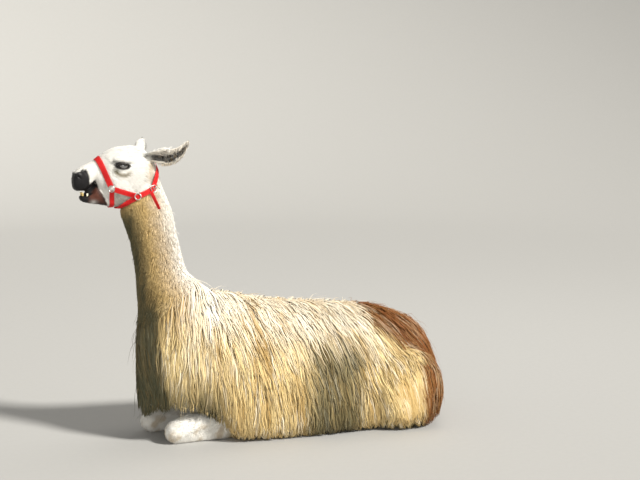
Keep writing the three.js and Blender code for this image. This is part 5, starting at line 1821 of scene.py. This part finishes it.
class LLAMA_OT_claws(bpy.types.Operator):
    """Makes the two claws of each foot"""
    bl_idname = "llama.claws"
    bl_label = "Claws"

    def execute(self, context):
        horn = plain_material("claw horn", (0.05, 0.036, 0.026), (0.11, 0.085, 0.06), 60.0, (0.35, 0.55),
                              (0.4, 0.0006), (4.0, 12.0, 12.0))
        for side, name in SIDE_NAMES.items():
            shift = FAR_KNEE_FORWARD if side == RIGHT else 0
            for foot, tip, ahead, y in (("fore", FORE_TOE - shift, -1, FORELEG_Y),
                                        ("hind", HIND_TOE, 1, HIND_LEG_Y)):
                for part, spread in (("inner", -TOE_SPREAD), ("outer", TOE_SPREAD)):
                    which = "_".join((foot, name, part))
                    claw = joined([claw_rings(tip, side * (y + spread), ahead)])
                    fitted(new_piece("claw_" + which, *claw, horn), "claw_horn", "toenail_" + which)
        return {"FINISHED"}


class LLAMA_OT_straps(bpy.types.Operator):
    """Lays the halter's straps on the head"""
    bl_idname = "llama.straps"
    bl_label = "Halter straps"

    def execute(self, context):
        finder = skin_and_finder()[1]
        cloth = webbing_material(settings()[1])

        def band(start, end, size, side=0, lift=0.0, reach=0.0):
            return webbing(*laid_path(finder, start, end, side, reach=reach), size, lift)

        for name, start, end, size, node in (
                ("nose", short_of(FRONT_RING, NOSEBAND_TOP), NOSEBAND_TOP, NOSE_WIDTH, "noseband"),
                ("chin", short_of(FRONT_RING, CHIN), CHIN, CHIN_WIDTH, "chin_strap"),
                ("throat", REAR_RING, THROAT, THROAT_WIDTH, "throat_strap")):
            strap_piece(name + "_webbing", [band(start, end, size)], cloth, node)
        crown = [band(REAR_RING, BUCKLE, CHEEK_WIDTH, side, reach=0.06) for side in (LEFT, RIGHT)]
        crown.append(band(BUCKLE, NAPE, CHEEK_WIDTH))
        strap_piece("crown_webbing", crown, cloth, "crown_strap")
        for side, name in SIDE_NAMES.items():
            cheek = band(FRONT_RING, REAR_RING, CHEEK_WIDTH, side, 0.4, -0.085)
            strap_piece("cheek_webbing_" + name, [cheek], cloth, "cheek_strap_" + name)
        path, face = laid_path(finder, *LOOSE_END, LEFT)
        turned = unit(face + np.linspace(0.3, 1.6, len(face))[:, None] * np.array((-1.0, 0.0, -0.1)))
        strap_piece("loose_webbing", [webbing(path + face * 3 * MM, turned, LOOSE_WIDTH)], cloth, "loose_end")
        return {"FINISHED"}


class LLAMA_OT_hardware(bpy.types.Operator):
    """Puts the halter's rings and buckle on its straps"""
    bl_idname = "llama.hardware"
    bl_label = "Rings and buckle"

    def execute(self, context):
        finder = skin_and_finder()[1]
        steel = plain_material("nickel steel", (0.70, 0.69, 0.66), (0.58, 0.57, 0.54), 240.0, (0.22, 0.36),
                               (0.15, 0.0002), Metallic=1.0)
        for name, place in (("front_ring_", FRONT_RING), ("rear_ring_", REAR_RING)):
            for side in (LEFT, RIGHT):
                ring_piece(finder, name + SIDE_NAMES[side], place, side, steel)
        buckle_piece(finder, steel)
        return {"FINISHED"}


CAMERA_PLACE = (-1.867, -4.98, 1.492)
CAMERA_TURN = (82.4, 0.0, -21.0)
LENS, SENSOR = 72.0, 36.0
SUN_PLACE, SUN_POWER, SUN_ANGLE, SUN_COLOUR = (2.1, -2.5, 2.7), 4.9, 0.16, (1.0, 0.97, 0.91)
SOFT_LIGHTS = (  # name, place, size and power of each lamp, which looks at the middle of the animal
    ("top", (1.6, 1.0, 4.2), 2.5, 45.0),
    ("fill", (-2.4, -4.4, 1.9), 2.1, 40.0),
)
SOFT_COLOUR = (1.0, 0.98, 0.95)
WORLD_COLOUR, WORLD_POWER = (1.0, 0.98, 0.93, 1.0), 0.31
BACKDROP_START, BACKDROP_HEIGHT = 7.0, 5.0
FLOOR_TONES = (0.44, 0.437, 0.425), (0.435, 0.432, 0.42)
AIM = Vector((-0.15, 0.0, 0.55))


def floor_surface():
    """A round floor that turns up into a backdrop on every side: its height is nought up to the start
    of the rise and then follows a quarter circle."""
    out = np.concatenate((np.geomspace(0.05, BACKDROP_START, 30),
                          BACKDROP_START + BACKDROP_HEIGHT * np.sin(np.linspace(0.05, np.pi / 2, 30))))
    past = (out - BACKDROP_START).clip(0, BACKDROP_HEIGHT)
    rise = BACKDROP_HEIGHT - np.sqrt(np.maximum(BACKDROP_HEIGHT ** 2 - past ** 2, 0))
    sides = 128
    turn = turns(sides)
    rings = np.stack((out[:, None] * np.cos(turn), out[:, None] * np.sin(turn), rise[:, None] + 0 * turn), -1)
    vertices = np.concatenate((rings.reshape(-1, 3), np.zeros((1, 3))))
    i = np.arange(len(out) - 1)[:, None] * sides
    k = np.arange(sides)[None, :]
    n = (k + 1) % sides
    p, q, r, s = i + k, i + n, i + k + sides, i + n + sides
    middle = np.stack((np.full(sides, len(vertices) - 1), k[0], n[0]), -1)
    return vertices, np.concatenate((np.stack((p, s, q, p, r, s), -1).reshape(-1, 3), middle))


class LLAMA_OT_stage(bpy.types.Operator):
    """Lays the floor and sets up soft lights and the camera"""
    bl_idname = "llama.stage"
    bl_label = "Stage"

    def execute(self, context):
        scene = context.scene
        surface = plain_material("pale floor", *FLOOR_TONES, 40.0, (0.8, 0.9), (0.02, 0.0002))
        floor = new_piece("floor", *floor_surface(), surface)
        floor.visible_shadow = False
        for name, place, size, power in SOFT_LIGHTS:
            light = bpy.data.lights.new(name, "AREA")
            light.size, light.energy, light.color = size, power, SOFT_COLOUR
            add_to_scene(name, light, place, (AIM - Vector(place)).to_track_quat("-Z", "Y").to_euler())
        sun = bpy.data.lights.new("key", "SUN")
        sun.energy, sun.angle, sun.color = SUN_POWER, SUN_ANGLE, SUN_COLOUR
        add_to_scene("key", sun, turn=Vector(SUN_PLACE).to_track_quat("Z", "Y").to_euler())
        scene.world = bpy.data.worlds.new("studio")
        scene.world.use_nodes = True
        background = scene.world.node_tree.nodes["Background"].inputs
        background[0].default_value, background[1].default_value = WORLD_COLOUR, WORLD_POWER
        camera = bpy.data.cameras.new("camera")
        camera.lens, camera.sensor_width = LENS, SENSOR
        turn = [math.radians(angle) for angle in CAMERA_TURN]
        scene.camera = add_to_scene("camera", camera, CAMERA_PLACE, turn)
        scene.view_settings.view_transform = "Standard"
        return {"FINISHED"}


OPERATORS = (LLAMA_OT_skin, LLAMA_OT_fleece, LLAMA_OT_neck_wool, LLAMA_OT_short_fur, LLAMA_OT_tail_locks,
             LLAMA_OT_eyes, LLAMA_OT_teeth, LLAMA_OT_claws, LLAMA_OT_straps, LLAMA_OT_hardware,
             LLAMA_OT_stage)


class LLAMA_PT_pieces(bpy.types.Panel):
    """Lists the llama's pieces, sizes and tones"""
    bl_idname = "LLAMA_PT_pieces"
    bl_label = "Lying llama"
    bl_space_type = "VIEW_3D"
    bl_region_type = "UI"
    bl_category = "Llama"

    def draw(self, context):
        for operator in OPERATORS:
            self.layout.operator(operator.bl_idname)
        for group in (context.scene.llama_sizes, context.scene.llama_tones):
            for name in group.__annotations__:
                self.layout.prop(group, name)


CLASSES = (LlamaSizes, LlamaTones, *OPERATORS, LLAMA_PT_pieces)


def register():
    for each in CLASSES:
        bpy.utils.register_class(each)
    bpy.types.Scene.llama_sizes = PointerProperty(type=LlamaSizes)
    bpy.types.Scene.llama_tones = PointerProperty(type=LlamaTones)


def unregister():
    del bpy.types.Scene.llama_tones
    del bpy.types.Scene.llama_sizes
    for each in reversed(CLASSES):
        bpy.utils.unregister_class(each)


def main():
    """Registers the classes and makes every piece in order."""
    register()
    for operator in OPERATORS:
        group, name = operator.bl_idname.split(".")
        getattr(getattr(bpy.ops, group), name)()
    remove_finder(bpy.data.objects["finder"])
    mesh = bpy.data.objects["skin"].data
    mesh.attributes.remove(mesh.attributes["facing"])


if __name__ == "__main__":
    main()
